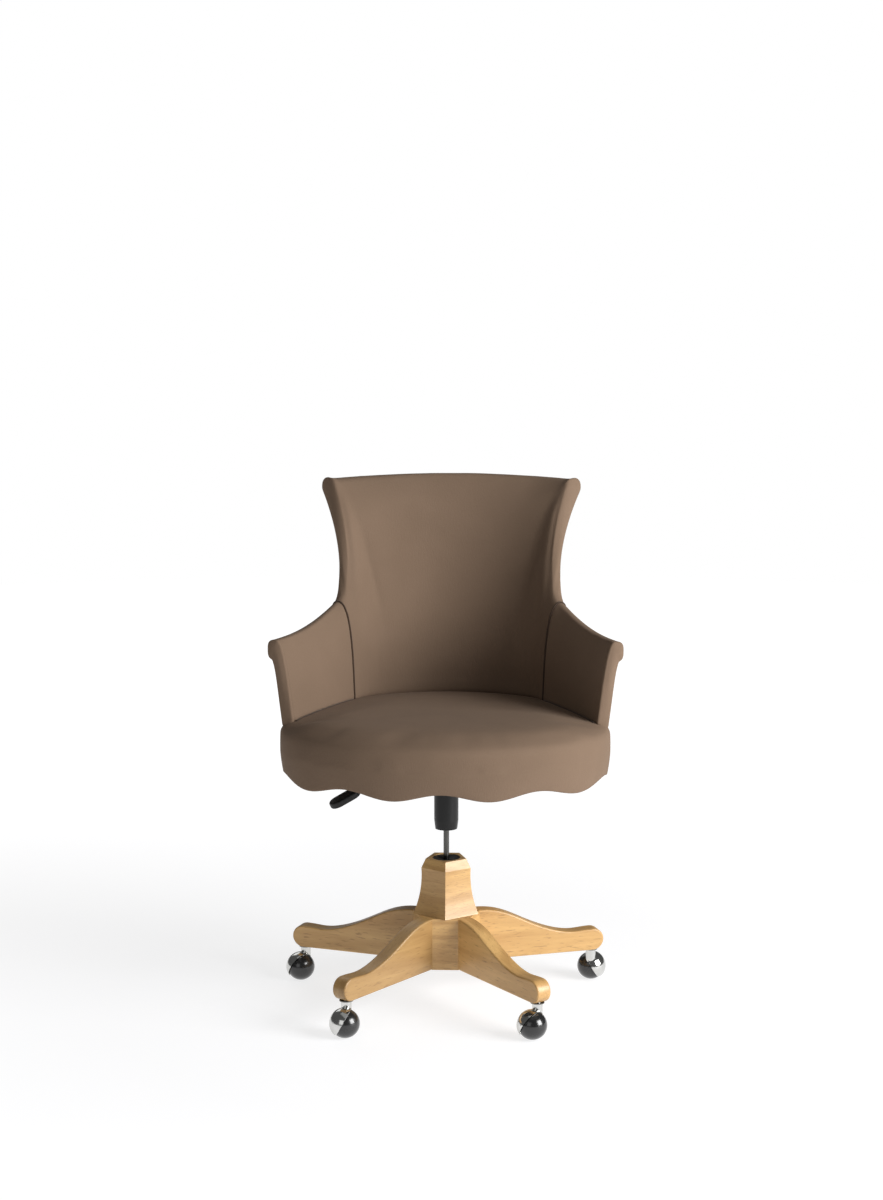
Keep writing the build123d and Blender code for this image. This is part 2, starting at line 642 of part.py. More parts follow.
with BuildPart() as lever_rod:
    with BuildLine(lever_side) as rod_route:
        FilletPolyline(rod_start, (PIVOT_REACH, PIVOT_HEIGHT), elbow, rod_end, radius=LEVER_BEND_RADIUS)
    with BuildSketch(Plane(origin=rod_route.line @ 0, z_dir=rod_route.line % 0)):
        Circle(LEVER_ROD_RADIUS)
    sweep(path=rod_route.line)
    with BuildSketch(lever_side):
        with Locations((-TONGUE_OVERHANG, TONGUE_UNDERSIDE)):
            Rectangle(TONGUE_LENGTH, TONGUE_THICKNESS, align=(Align.MIN, Align.MIN))
    extrude(amount=TONGUE_WIDTH / 2, both=True)
    with Locations(pivot_seat):
        Cylinder(PIVOT_RADIUS + RUNNING_CLEARANCE, 4 * EAR_OUTER, mode=Mode.SUBTRACT)
save(lever_rod.part, "lever_rod")

with BuildPart() as lever_paddle:
    with BuildSketch(paddle_plane):
        SlotOverall(PADDLE_LENGTH, PADDLE_WIDTH)
    extrude(amount=PADDLE_THICKNESS / 2, both=True)
    fillet(lever_paddle.edges(), PADDLE_ROUND)
    add(lever_rod.part, mode=Mode.SUBTRACT)
save(lever_paddle.part, "lever_paddle")


# Seat board, cushion and scalloped apron
def egg(inset, height):
    """Plan outline of the seat, drawn in evenly by an inset."""
    centre = (0, SEAT_CENTRE_Y)
    across = SEAT_HALF_WIDTH - inset
    with BuildSketch(Plane.XY.offset(height)) as outline:
        with BuildLine():
            for quarter, depth in enumerate((SEAT_REAR, SEAT_REAR, SEAT_FRONT, SEAT_FRONT)):
                EllipticalCenterArc(centre, across, depth - inset, 90 * quarter, arc_size=90)
        make_face()
    return outline.sketch


def egg_point(angle):
    """Point and outward direction of the seat's plan outline at an angle from its front."""
    depth = SEAT_FRONT if cos(angle) > 0 else SEAT_REAR
    point = (SEAT_HALF_WIDTH * sin(angle), SEAT_CENTRE_Y - depth * cos(angle))
    normal = Vector(sin(angle) / SEAT_HALF_WIDTH, -cos(angle) / depth, 0).normalized()
    return point, normal


def lobe_planes():
    """Planes that face outward at the scallops' peaks, evenly spaced round the seat, and that spacing."""
    steps = 720
    angles = [2 * pi * step / steps for step in range(steps + 1)]
    points = [egg_point(angle)[0] for angle in angles]
    runs = [0.0]
    for before, after in zip(points, points[1:]):
        runs.append(runs[-1] + hypot(after[0] - before[0], after[1] - before[1]))
    spacing = runs[-1] / LOBE_COUNT
    planes = []
    for lobe in range(LOBE_COUNT):
        step = min(range(steps), key=lambda index: abs(runs[index] - lobe * spacing))
        point, normal = egg_point(angles[step])
        planes.append(Plane(origin=(*point, 0), x_dir=(-normal.Y, normal.X, 0), z_dir=normal))
    return planes, spacing


def scallop_cut(plane, spacing):
    """The space under the apron between two lobes."""
    half = spacing / 2
    low = APRON_BOTTOM
    peak = APRON_BOTTOM + LOBE_DEPTH
    below = APRON_BOTTOM - LOBE_DEPTH
    with BuildSketch(plane) as outline:
        with BuildLine():
            Bezier((-half, low), (-half / 2, low), (-half / 2, peak), (0, peak))
            Bezier((0, peak), (half / 2, peak), (half / 2, low), (half, low))
            Polyline((half, low), (half, below), (-half, below), (-half, low))
        make_face()
    return outline.sketch


def tub_line(run):
    """Plan point and outward heading of the tub's inner foot line at a run from the back's middle."""
    side = 1 if run >= 0 else -1
    run = abs(run)
    if run <= BACK_RUN:
        heading = run / BACK_PLAN_RADIUS
        x = BACK_PLAN_RADIUS * sin(heading)
        y = BACK_FOOT_Y - BACK_PLAN_RADIUS * (1 - cos(heading))
    elif run <= CORNER_END:
        heading = radians(BACK_SWEEP) + (run - BACK_RUN) / CORNER_RADIUS
        x = CORNER_X + CORNER_RADIUS * sin(heading)
        y = CORNER_Y + CORNER_RADIUS * cos(heading)
    else:
        heading = radians(ARM_HEADING)
        past = run - CORNER_END
        x = CORNER_X + CORNER_RADIUS * sin(heading) + past * cos(heading)
        y = CORNER_Y + CORNER_RADIUS * cos(heading) - past * sin(heading)
    return side * x, y, side * heading


def corner_run(heading):
    """Run along the foot line to a heading on the rounded corner between back and arm."""
    return BACK_RUN + radians(heading - BACK_SWEEP) * CORNER_RADIUS


BACK_FOOT_Y = SEAT_CENTRE_Y + SEAT_REAR - BACK_SETBACK
CORNER_X = SEAT_HALF_WIDTH - CORNER_INSET
BACK_SWEEP = degrees(asin(CORNER_X / (BACK_PLAN_RADIUS - CORNER_RADIUS)))
CORNER_Y = BACK_FOOT_Y - BACK_PLAN_RADIUS + (BACK_PLAN_RADIUS - CORNER_RADIUS) * cos(radians(BACK_SWEEP))
BACK_RUN = BACK_PLAN_RADIUS * radians(BACK_SWEEP)
CORNER_END = corner_run(ARM_HEADING)
SEAM_RUN = CORNER_END + SEAM_SETBACK

# A station of the tub wall: run, rise of the rim above the board, reach, lean of the wall, roll radius
crest = (0.0, CREST_RISE, CREST_REACH, CREST_LEAN, CREST_ROLL)
horn = (corner_run(HORN_HEADING), HORN_RISE, HORN_REACH, HORN_LEAN, CREST_ROLL)
seam = (SEAM_RUN, SEAM_RISE, SEAM_REACH, SEAM_LEAN, SEAM_ROLL)
arm_front = (SEAM_RUN + ARM_RUN, ARM_FRONT_RISE, ARM_FRONT_REACH, ARM_FRONT_LEAN, ARM_FRONT_ROLL)


def between(start, end, share, rise_ease, rim_ease):
    """Station part of the way from one to another, with its rim changed by eased shares."""
    eases = (share, rise_ease, rim_ease, rim_ease, rim_ease)
    return tuple(first + (last - first) * ease for first, last, ease in zip(start, end, eases))


def top_station(share):
    """Station between the middle of the crest and the end of its roll."""
    return between(crest, horn, share, share ** 2, share ** 2)


def side_station(share):
    """Station of the trumpet-shaped side, from the end of the crest down to the arm's seam."""
    left = 1 - share
    rise_ease = 1 - SIDE_SLOPE * left - (1 - SIDE_SLOPE) * left ** SIDE_POWER
    return between(horn, seam, share, rise_ease, 1 - left ** RIM_POWER)


def arm_station(share):
    """Station along the arm, from its seam to its front."""
    ease = 1 - (1 - share) ** ARM_POWER
    return between(seam, arm_front, share, ease, ease)


def mirrored(station):
    """The same station on the other side of the chair."""
    return (-station[0], *station[1:])


half_back = [top_station(share) for share in (CORE_SCREW_BACK_SHARE / 2, CORE_SCREW_BACK_SHARE, 1.0)]
half_back += [side_station(share) for share in (0.06, 0.13, 0.25, 0.4, 0.6, 0.8, 1.0)]
back_stations = [mirrored(station) for station in reversed(half_back)] + [crest] + half_back
arm_stations = [arm_station(share) for share in (0.0, 0.25, 0.5, 0.75, 1.0)]


def wall_plane(run):
    """Upright plane across the tub wall: across is outward, up is the height."""
    x, y, heading = tub_line(run)
    outward = (sin(heading), cos(heading), 0)
    forward = (cos(heading), -sin(heading), 0)
    return Plane(origin=(x, y, 0), x_dir=outward, z_dir=forward)


def wall_curves(station):
    """Inner face, roll and outer face of the tub wall at a station."""
    run, rise, reach, lean, roll_radius = station
    top = BOARD_TOP + rise
    height = top - WALL_FOOT
    crown = reach - roll_radius
    flare = max(crown - lean * height, roll_radius * LEAST_FLARE)
    bend = WALL_BEND * height
    sweep_end = radians(ROLL_SWEEP)
    roll_middle = (crown + roll_radius * sin(sweep_end / 2), top - roll_radius * (1 - cos(sweep_end / 2)))
    roll_end = (crown + roll_radius * sin(sweep_end), top - roll_radius * (1 - cos(sweep_end)))
    lip = (roll_end[0] - ROLL_NOTCH, roll_end[1] - ROLL_NOTCH / 2)
    inner = [(0, WALL_FOOT), (bend * lean, WALL_FOOT + bend), (crown - flare, top), (crown, top)]
    roll = [(crown, top), roll_middle, roll_end]
    outer = [
        (WALL_THICKNESS, WALL_FOOT),
        (WALL_THICKNESS + bend * lean, WALL_FOOT + bend),
        (lip[0] - flare / 2, lip[1] - LIP_DRAW * height),
        lip,
    ]
    return inner, roll, outer


def wall_section(station):
    """Padded section of the tub wall, with its outward roll at the rim."""
    inner, roll, outer = wall_curves(station)
    with BuildSketch(wall_plane(station[0])) as outline:
        with BuildLine():
            Bezier(*inner)
            ThreePointArc(*roll)
            Line(roll[-1], outer[-1])
            Bezier(*reversed(outer))
            Line(outer[0], inner[0])
        make_face()
    return outline.sketch


def lower_part(points, share):
    """Control points of the first share of a curve."""
    kept = [points[0]]
    while len(points) > 1:
        points = [
            (a[0] + (b[0] - a[0]) * share, a[1] + (b[1] - a[1]) * share) for a, b in zip(points, points[1:])
        ]
        kept.append(points[0])
    return kept


def core_section(station):
    """Section of the moulded plywood inside the tub wall, from the board up."""
    inner, _, outer = wall_curves(station)
    middle = [((a[0] + b[0]) / 2, (a[1] + b[1]) / 2) for a, b in zip(inner, outer)]
    middle[0] = (middle[0][0], BOARD_TOP)
    spine = lower_part(middle, CORE_SHARE)
    face_in = [(x - CORE_THICKNESS / 2, z) for x, z in spine]
    face_out = [(x + CORE_THICKNESS / 2, z) for x, z in spine]
    with BuildSketch(wall_plane(station[0])) as outline:
        with BuildLine():
            Bezier(*face_in)
            Line(face_in[-1], face_out[-1])
            Bezier(*reversed(face_out))
            Line(face_out[0], face_in[0])
        make_face()
    return outline.sketch


def core_screw_point(run):
    """Middle of the plywood's foot, on the board, at a run from the back's middle."""
    x, y, heading = tub_line(run)
    out = WALL_THICKNESS / 2
    return (x + out * sin(heading), y + out * cos(heading), BOARD_TOP)


back_screw = top_station(CORE_SCREW_BACK_SHARE)[0]
screw_runs = [0.0, back_screw, -back_screw]
for share in CORE_SCREW_ARM_SHARES:
    screw_runs += [SEAM_RUN + share * ARM_RUN, -SEAM_RUN - share * ARM_RUN]
core_screw_seats = [core_screw_point(run) for run in screw_runs]
core_end = arm_station(1 - CORE_END_SETBACK / ARM_RUN)

with BuildPart() as shell_screws:
    with Locations(*core_screw_seats):
        Cylinder(CORE_SCREW_RADIUS, CORE_SCREW_BITE, align=FROM_SEAT)
        Cylinder(CORE_SCREW_RADIUS, BOARD_THICKNESS, align=UP_TO_SEAT)
    with Locations(*[(x, y, BOARD_UNDERSIDE) for x, y, _ in core_screw_seats]):
        Cylinder(CORE_SCREW_HEAD_RADIUS, CORE_SCREW_HEAD, align=FROM_SEAT)
save(shell_screws.part, "shell_screws")

with BuildPart() as seat_board:
    extrude(egg(APRON_THICKNESS, BOARD_UNDERSIDE), amount=BOARD_THICKNESS)
    with Locations((0, 0, BOARD_TOP)):
        with GridLocations(PLATE_BOLT_SPACING_X, PLATE_BOLT_SPACING_Y, 2, 2):
            Cylinder(TEE_NUT_FLANGE_RADIUS, TEE_NUT_FLANGE, align=UP_TO_SEAT, mode=Mode.SUBTRACT)
            Cylinder(PLATE_BOLT_RADIUS + TEE_NUT_WALL, 3 * BOARD_THICKNESS, mode=Mode.SUBTRACT)
    add(shell_screws.part, mode=Mode.SUBTRACT)
save(seat_board.part, "seat_board")

with BuildPart() as dust_cover:
    extrude(egg(APRON_THICKNESS + DUST_COVER_INSET, BOARD_UNDERSIDE), amount=-DUST_COVER_THICKNESS)
    with BuildSketch(Plane.XY.offset(BOARD_UNDERSIDE)):
        margin = 2 * DUST_COVER_MARGIN
        RectangleRounded(PLATE_WIDTH + margin, PLATE_LENGTH + margin, PLATE_CORNER + DUST_COVER_MARGIN)
    extrude(amount=-DUST_COVER_THICKNESS, mode=Mode.SUBTRACT)
save(dust_cover.part, "dust_cover")

with BuildPart() as seat_apron:
    apron_height = BOARD_TOP - APRON_BOTTOM
    loft(
        sections=[
            egg(APRON_TUCK, APRON_BOTTOM),
            egg(APRON_TUCK / 4, APRON_BOTTOM + apron_height / 2),
            egg(0, BOARD_TOP),
        ]
    )
    extrude(egg(APRON_THICKNESS, APRON_BOTTOM), amount=apron_height, mode=Mode.SUBTRACT)
    peaks, peak_spacing = lobe_planes()
    for peak in peaks:
        extrude(scallop_cut(peak, peak_spacing), amount=3 * APRON_THICKNESS, both=True, mode=Mode.SUBTRACT)
save(seat_apron.part, "seat_apron")


def crown_section(angle):
    """Cushion outline at an angle up its squarish crown, from the full side to the flat of the top."""
    turn = radians(angle)
    inset = CUSHION_CROWN * (1 - cos(turn) ** CROWN_POWER)
    rise = (CUSHION_HEIGHT - CUSHION_SIDE) * sin(turn) ** CROWN_POWER
    return egg(inset, BOARD_TOP + CUSHION_SIDE + rise)


with BuildPart() as cushion_form:
    crown = [crown_section(angle) for angle in range(0, 90, 10)]
    loft(sections=[egg(CUSHION_TUCK, BOARD_TOP)] + crown, ruled=True)

# Tub wall: plywood, padding and arm facings
with BuildPart() as back_core:
    loft(sections=[core_section(station) for station in back_stations])
    add(shell_screws.part, mode=Mode.SUBTRACT)
save(back_core.part, "back_core")

with BuildPart() as arm_core_right:
    loft(sections=[core_section(station) for station in arm_stations[:-1]] + [core_section(core_end)])
    add(shell_screws.part, mode=Mode.SUBTRACT)
save(arm_core_right.part, "arm_core_right")

with BuildPart() as arm_core_left:
    mirror(arm_core_right.part, about=Plane.YZ)
save(arm_core_left.part, "arm_core_left")

with BuildPart() as seat_cushion:
    add(cushion_form.part)
    add(back_core.part, mode=Mode.SUBTRACT)
    add(arm_core_right.part, mode=Mode.SUBTRACT)
    add(arm_core_left.part, mode=Mode.SUBTRACT)
    add(shell_screws.part, mode=Mode.SUBTRACT)
save(seat_cushion.part, "seat_cushion")

with BuildPart() as back_pad:
    loft(sections=[wall_section(station) for station in back_stations])
    add(cushion_form.part, mode=Mode.SUBTRACT)
    add(back_core.part, mode=Mode.SUBTRACT)
save(back_pad.part, "back_pad")

with BuildPart() as arm_pad_right:
    loft(sections=[wall_section(station) for station in arm_stations])
    add(cushion_form.part, mode=Mode.SUBTRACT)
    add(arm_core_right.part, mode=Mode.SUBTRACT)
save(arm_pad_right.part, "arm_pad_right")

with BuildPart() as arm_pad_left:
    mirror(arm_pad_right.part, about=Plane.YZ)
save(arm_pad_left.part, "arm_pad_left")

with BuildPart() as arm_facing_right:
    extrude(wall_section(arm_front), amount=FACING_THICKNESS)
    add(cushion_form.part, mode=Mode.SUBTRACT)
save(arm_facing_right.part, "arm_facing_right")

with BuildPart() as arm_facing_left:
    mirror(arm_facing_right.part, about=Plane.YZ)
save(arm_facing_left.part, "arm_facing_left")

# Ball casters: modelled once about the stem, then turned to each leg
tilt = radians(WHEEL_TILT)
ball_centre = Vector(-CASTER_TRAIL, 0, WHEEL_RADIUS)
wheel_axis = Vector(0, -cos(tilt), -sin(tilt))
ball_plane = Plane(origin=ball_centre, x_dir=wheel_axis, z_dir=(-1, 0, 0))
axle_line = Axis(ball_centre, wheel_axis)
HOOD_INNER = WHEEL_RADIUS + HOOD_GAP
HOOD_OUTER = HOOD_INNER + HOOD_WALL
HOOD_RIM = -WHEEL_RIM_SETBACK - HOOD_RIM_GAP
BOSS_TOP = LEG_UNDERSIDE - SOCKET_FLANGE - FREE_GAP - STEM_COLLAR_HEIGHT
COLLAR_TOP = BOSS_TOP + STEM_COLLAR_HEIGHT


def on_ball(radius, along):
    """Point of a circle about the ball's centre at a distance along the axle."""
    return (along, (radius ** 2 - along ** 2) ** 0.5)


def halfway(radius, start, end):
    """Middle of the arc between two points of a circle about the ball's centre."""
    middle = Vector((start[0] + end[0]) / 2, (start[1] + end[1]) / 2).normalized() * radius
    return (middle.X, middle.Y)


with BuildPart() as wheel:
    rim = on_ball(WHEEL_RADIUS, -WHEEL_RIM_SETBACK)
    pole = (WHEEL_RADIUS, 0)
    bore = AXLE_RADIUS + RUNNING_CLEARANCE
    with BuildSketch(ball_plane):
        with BuildLine():
            ThreePointArc(rim, halfway(WHEEL_RADIUS, rim, pole), pole)
            Polyline(
                pole,
                (AXLE_IN_WHEEL + FREE_GAP, 0),
                (AXLE_IN_WHEEL + FREE_GAP, bore),
                (-WHEEL_RIM_SETBACK, bore),
                rim,
            )
        make_face()
    revolve(axis=axle_line)

with BuildPart() as caster_axle:
    with BuildSketch(ball_plane):
        with Locations((-AXLE_IN_HOOD, 0)):
            Rectangle(AXLE_IN_HOOD + AXLE_IN_WHEEL, AXLE_RADIUS, align=(Align.MIN, Align.MIN))
    revolve(axis=axle_line)

with BuildPart() as caster_stem:
    with Locations((0, 0, BOSS_TOP)):
        Cylinder(STEM_RADIUS, STEM_SINK, align=UP_TO_SEAT)
        Cylinder(STEM_BOSS_RADIUS, STEM_COLLAR_HEIGHT, align=FROM_SEAT)
    with Locations((0, 0, COLLAR_TOP)):
        Cylinder(STEM_RADIUS, LEG_UNDERSIDE + STEM_LENGTH - COLLAR_TOP, align=FROM_SEAT)

with BuildPart() as caster_hood:
    with Locations((0, 0, BOSS_TOP)):
        Cylinder(STEM_BOSS_RADIUS, BOSS_TOP - WHEEL_RADIUS, align=UP_TO_SEAT)
    with Locations(ball_centre):
        Sphere(HOOD_INNER, mode=Mode.SUBTRACT)
    inner_rim = on_ball(HOOD_INNER, HOOD_RIM)
    outer_rim = on_ball(HOOD_OUTER, HOOD_RIM)
    inner_boss = (-(HOOD_INNER ** 2 - AXLE_BOSS_RADIUS ** 2) ** 0.5, AXLE_BOSS_RADIUS)
    outer_pole = (-HOOD_OUTER, 0)
    with BuildSketch(ball_plane):
        with BuildLine():
            ThreePointArc(inner_boss, halfway(HOOD_INNER, inner_boss, inner_rim), inner_rim)
            Line(inner_rim, outer_rim)
            ThreePointArc(outer_rim, halfway(HOOD_OUTER, outer_rim, outer_pole), outer_pole)
            Polyline(
                outer_pole,
                (-AXLE_IN_HOOD, 0),
                (-AXLE_IN_HOOD, AXLE_RADIUS),
                (HOOD_RIM, AXLE_RADIUS),
                (HOOD_RIM, AXLE_BOSS_RADIUS),
                inner_boss,
            )
        make_face()
    revolve(axis=axle_line)
    add(caster_stem.part, mode=Mode.SUBTRACT)
    with Locations((-CASTER_TRAIL, 0, HOOD_FLOOR_CLEARANCE)):
        Box(4 * WHEEL_RADIUS, 4 * WHEEL_RADIUS, 2 * WHEEL_RADIUS, align=UP_TO_SEAT, mode=Mode.SUBTRACT)

caster_pieces = {"stem": caster_stem, "hood": caster_hood, "axle": caster_axle, "wheel": wheel}
for index, (seat, heading) in enumerate(zip(caster_seats, CASTER_HEADINGS)):
    place = Location((seat.X, seat.Y, 0), (0, 0, heading))
    for name, piece in caster_pieces.items():
        save(piece.part.moved(place), f"caster_{name}_{index + 1}")
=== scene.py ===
"""Dresses the desk chair's frame: sewn upholstery, wood, metal and plastic finishes, and a studio stage."""

import math

import bmesh
import bpy
from bpy.props import FloatProperty, FloatVectorProperty, IntProperty, PointerProperty
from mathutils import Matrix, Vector, kdtree


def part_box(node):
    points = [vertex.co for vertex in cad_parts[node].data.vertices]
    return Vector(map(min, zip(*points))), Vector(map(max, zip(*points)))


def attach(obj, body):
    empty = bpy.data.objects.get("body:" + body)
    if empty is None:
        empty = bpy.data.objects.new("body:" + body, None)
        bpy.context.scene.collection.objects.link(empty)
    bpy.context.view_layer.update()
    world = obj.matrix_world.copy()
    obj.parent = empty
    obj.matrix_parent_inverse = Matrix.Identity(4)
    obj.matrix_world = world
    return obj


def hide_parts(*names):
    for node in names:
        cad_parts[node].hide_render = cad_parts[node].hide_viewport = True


bl_info = {
    "name": "Upholstered desk chair",
    "version": (1, 0, 0),
    "blender": (4, 5, 0),
    "location": "3D View > Sidebar > Desk chair",
    "description": "Upholstery, finishes and a studio stage for a tub desk chair on an oak base",
    "category": "Object",
}

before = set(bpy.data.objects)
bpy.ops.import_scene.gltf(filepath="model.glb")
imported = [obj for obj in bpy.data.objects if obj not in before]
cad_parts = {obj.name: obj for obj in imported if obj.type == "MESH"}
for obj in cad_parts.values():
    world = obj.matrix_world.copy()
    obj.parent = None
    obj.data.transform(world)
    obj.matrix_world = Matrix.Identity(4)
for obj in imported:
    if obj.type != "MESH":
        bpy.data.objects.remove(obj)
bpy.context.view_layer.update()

SEAT_BODY = "seat"
BOARD_LOW, BOARD_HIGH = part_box("seat_board")
CUSHION_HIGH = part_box("seat_cushion")[1]
APRON_LOW, APRON_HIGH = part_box("seat_apron")
PLATE_LOW, PLATE_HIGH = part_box("seat_plate")
DUST_LOW, DUST_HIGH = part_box("dust_cover")
SEAT_WIDEST_Y = -0.060
LEG_COUNT = 5
FIRST_LEG_ANGLE = math.radians(18)
CROWN_ROOM = 0.003
EDGE_RISE = 0.014
WHITE = (1.0, 1.0, 1.0, 1.0)


# Sizes and colours that a user may change

def metres(name, description, default):
    """Setting for a length in metres."""
    return FloatProperty(name=name, description=description, unit="LENGTH", default=default)


def degrees(name, description, default):
    """Setting for an angle."""
    turn = math.radians(default)
    return FloatProperty(name=name, description=description, subtype="ANGLE", default=turn)


def watts(name, description, default):
    """Setting for a light's power."""
    return FloatProperty(name=name, description=description, unit="POWER", default=default)


def wall_section(name, description, *default):
    """Setting for the rise, reach, lean and roll of the wall at one station."""
    return FloatVectorProperty(name=name, description=description, size=4, default=default)


def tint(name, description, *default):
    """Setting for a colour."""
    return FloatVectorProperty(name=name, description=description, subtype="COLOR", default=default)


class SeatSizes(bpy.types.PropertyGroup):
    """Sizes of the seat's cover, which is cushion and scalloped border in one."""

    half_width: metres("Half width", "From the middle to the side of the seat", APRON_HIGH.x)
    front: metres("Front", "From the widest line to the front edge", SEAT_WIDEST_Y - APRON_LOW.y)
    rear: metres("Rear", "From the widest line to the rear edge", APRON_HIGH.y - SEAT_WIDEST_Y)
    top: metres("Top", "Height of the middle of the cushion before it swells", CUSHION_HIGH.z - CROWN_ROOM)
    edge: metres("Edge", "Height where the side starts to turn into the top", BOARD_HIGH.z + EDGE_RISE)
    crown_reach: metres("Crown reach", "How far in from the edge the top still rises", 0.200)
    hem: metres("Hem", "Lowest height of the scalloped hem", APRON_LOW.z)
    scallop_depth: metres("Scallop depth", "Rise of the hem between two scallops", 0.013)
    scallops: IntProperty(name="Scallops", description="Number of scallops round the hem", default=10)
    hem_tuck: metres("Hem tuck", "How far the hem is drawn in under the side", 0.005)
    border: metres("Border", "Thickness of the padded border", 0.0135)
    swell: metres("Swell", "Most that the stuffing pushes the cover out", 0.006)


class TubSizes(bpy.types.PropertyGroup):
    """Sizes of the tub wall: the back and both arms, on one line round the seat."""

    back_foot: metres("Back foot", "Depth of the middle of the back's inner foot", 0.215)
    back_radius: metres("Back radius", "Radius of the back in plan", 0.272)
    back_sweep: degrees("Back sweep", "Half angle of the back's arc", 24)
    corner_radius: metres("Corner radius", "Radius of the corner in plan", 0.095)
    horn_heading: degrees("Horn heading", "Outward direction at the end of the crest", 48)
    arm_heading: degrees("Arm heading", "Outward direction of the arm", 66)
    seam_setback: metres("Seam setback", "From the end of the corner to the arm's seam", 0.025)
    arm_run: metres("Arm run", "Length of the arm from its seam", 0.214)
    facing: metres("Facing", "Thickness of the arm's front facing", 0.006)
    wall: metres("Wall", "Thickness of the wall at its foot", 0.024)
    foot: metres("Foot", "Height where the wall's curves start", 0.490)
    sink: metres("Sink", "How deep the wall presses into the cushion", 0.006)
    roll_sweep: degrees("Roll sweep", "Turn of the rolled rim", 150)
    roll_notch: metres("Roll notch", "Step under the rolled rim", 0.0025)
    crest: wall_section("Crest", "Wall at the middle of the back", 0.448, 0.097, 0.12, 0.016)
    horn: wall_section("Horn", "Wall at the end of the crest", 0.441, 0.130, 0.08, 0.016)
    seam: wall_section("Seam", "Wall at the arm's seam", 0.226, 0.045, 0.03, 0.011)
    arm_front: wall_section("Arm front", "Wall at the front of the arm", 0.186, 0.053, 0.14, 0.018)
    roll_square: FloatProperty(
        name="Roll square", default=3.2,
        description="Squareness of the roll at the front of the arm, where 2 is round")
    edge_round: metres("Edge round", "Rounding of a sewn edge", 0.004)
    fold_run: metres("Fold run", "How far back the stuffing of the fold below a horn looks", 0.06)
    fold_depth: metres("Fold depth", "From the rim down to the full stuffing of the fold", 0.12)
    fold_seam: metres("Fold seam", "From the seam to the full stuffing of the fold", 0.025)
    fold_ease: IntProperty(
        name="Fold ease", description="Rounds of smoothing over the fold below the horns", default=700)
    fold_cap: metres("Fold cap", "Most that the smoothing moves the cover", 0.007)
    swell: metres("Swell", "Most that the stuffing pushes the cover out", 0.004)


class TrimSizes(bpy.types.PropertyGroup):
    """Sizes of seams, stitches, staples and the dust cover."""

    welt_radius: metres("Welt radius", "Radius of the cord in the seams", 0.0019)
    stitch_spacing: metres("Stitch spacing", "From one stitch to the next", 0.0055)
    stitch_length: metres("Stitch length", "Length of a stitch", 0.0038)
    stitch_radius: metres("Stitch radius", "Radius of the thread", 0.0004)
    staple_spacing: metres("Staple spacing", "From one staple to the next", 0.026)
    staple_length: metres("Staple length", "Width of a staple", 0.010)
    staple_radius: metres("Staple radius", "Radius of a staple's wire", 0.0005)
    staple_inset: metres("Staple inset", "From the dust cover's edge to the staples", 0.006)
    dust_inset: metres("Dust cover inset", "From the side of the seat to the dust cover", 0.020)
    dust_sag: metres("Dust cover sag", "How far the dust cover hangs down", 0.003)


class FinishColours(bpy.types.PropertyGroup):
    """Colours of the chair's finishes."""

    cloth: tint("Cloth", "Body colour of the upholstery", 0.180, 0.122, 0.083)
    cloth_nap: tint("Cloth nap", "Upholstery brushed the other way", 0.145, 0.100, 0.068)
    welt: tint("Welt", "Cord in the seams", 0.036, 0.022, 0.014)
    oak: tint("Oak", "Light wood between the grain lines", 0.600, 0.372, 0.145)
    oak_grain: tint("Oak grain", "Darker bands of the wood", 0.360, 0.190, 0.060)
    oak_pore: tint("Oak pores", "Short dark lines of the open pores", 0.180, 0.090, 0.030)
    dust_cloth: tint("Dust cloth", "Black cloth under the seat", 0.014, 0.014, 0.015)
    plywood: tint("Plywood", "Seat board and wall cores", 0.560, 0.400, 0.230)
    plywood_glue: tint("Plywood glue", "Dark plies and glue lines", 0.30, 0.19, 0.10)
    black_steel: tint("Black steel", "Painted seat plate and lever rod", 0.018, 0.018, 0.018)
    bright_steel: tint("Bright steel", "Bolts, bearing and cylinder", 0.260, 0.255, 0.240)
    rod_steel: tint("Rod steel", "Dark hard-chromed piston rod", 0.100, 0.098, 0.092)
    black_plastic: tint("Black plastic", "Column sleeve and paddle", 0.007, 0.007, 0.007)
    caster_metal: tint("Caster metal", "Polished caster hoods", 0.720, 0.720, 0.700)
    caster_tread: tint("Caster tread", "Black caster wheels", 0.010, 0.010, 0.010)
    floor: tint("Floor", "Pale studio floor", 0.30, 0.30, 0.31)


class StageSettings(bpy.types.PropertyGroup):
    """Camera and lights."""

    camera_distance: metres("Camera distance", "From the chair's axis to the camera, level", 3.6)
    camera_height: metres("Camera height", "Above the floor", 1.21)
    camera_azimuth: degrees("Camera azimuth", "Turn from the chair's front towards its left hand", 2)
    look_height: metres("Look height", "Height of the point that the camera and lights face", 0.5)
    lens: FloatProperty(
        name="Lens", description="Focal length in millimetres", unit="CAMERA", default=62.73)
    shift_x: FloatProperty(name="Shift X", description="Sideways shift of the lens", default=-0.004)
    shift_y: FloatProperty(name="Shift Y", description="Upward shift of the lens", default=0.101)
    key_power: watts("Key power", "Large soft light on the right", 280.0)
    fill_power: watts("Fill power", "Weak soft light on the left", 12.0)
    top_power: watts("Top power", "Overhead softbox", 8.0)
    back_power: watts("Back power", "Soft light behind the chair", 12.0)
    sky: FloatProperty(name="Sky", description="Brightness of the plain surroundings", default=0.09)


# Small helpers for meshes and paths

SIDES = (("right", 1), ("left", -1))
SMOOTH_SHARE = 0.4
HELD_WEIGHT = 0.5


def lerp(first, last, share):
    """Value part of the way from one to another."""
    return first + (last - first) * share


def bisect(too_far, low, high, steps=30):
    """Largest value from low to high that isn't too far."""
    for step in range(steps):
        middle = (low + high) / 2
        if too_far(middle):
            high = middle
        else:
            low = middle
    return low


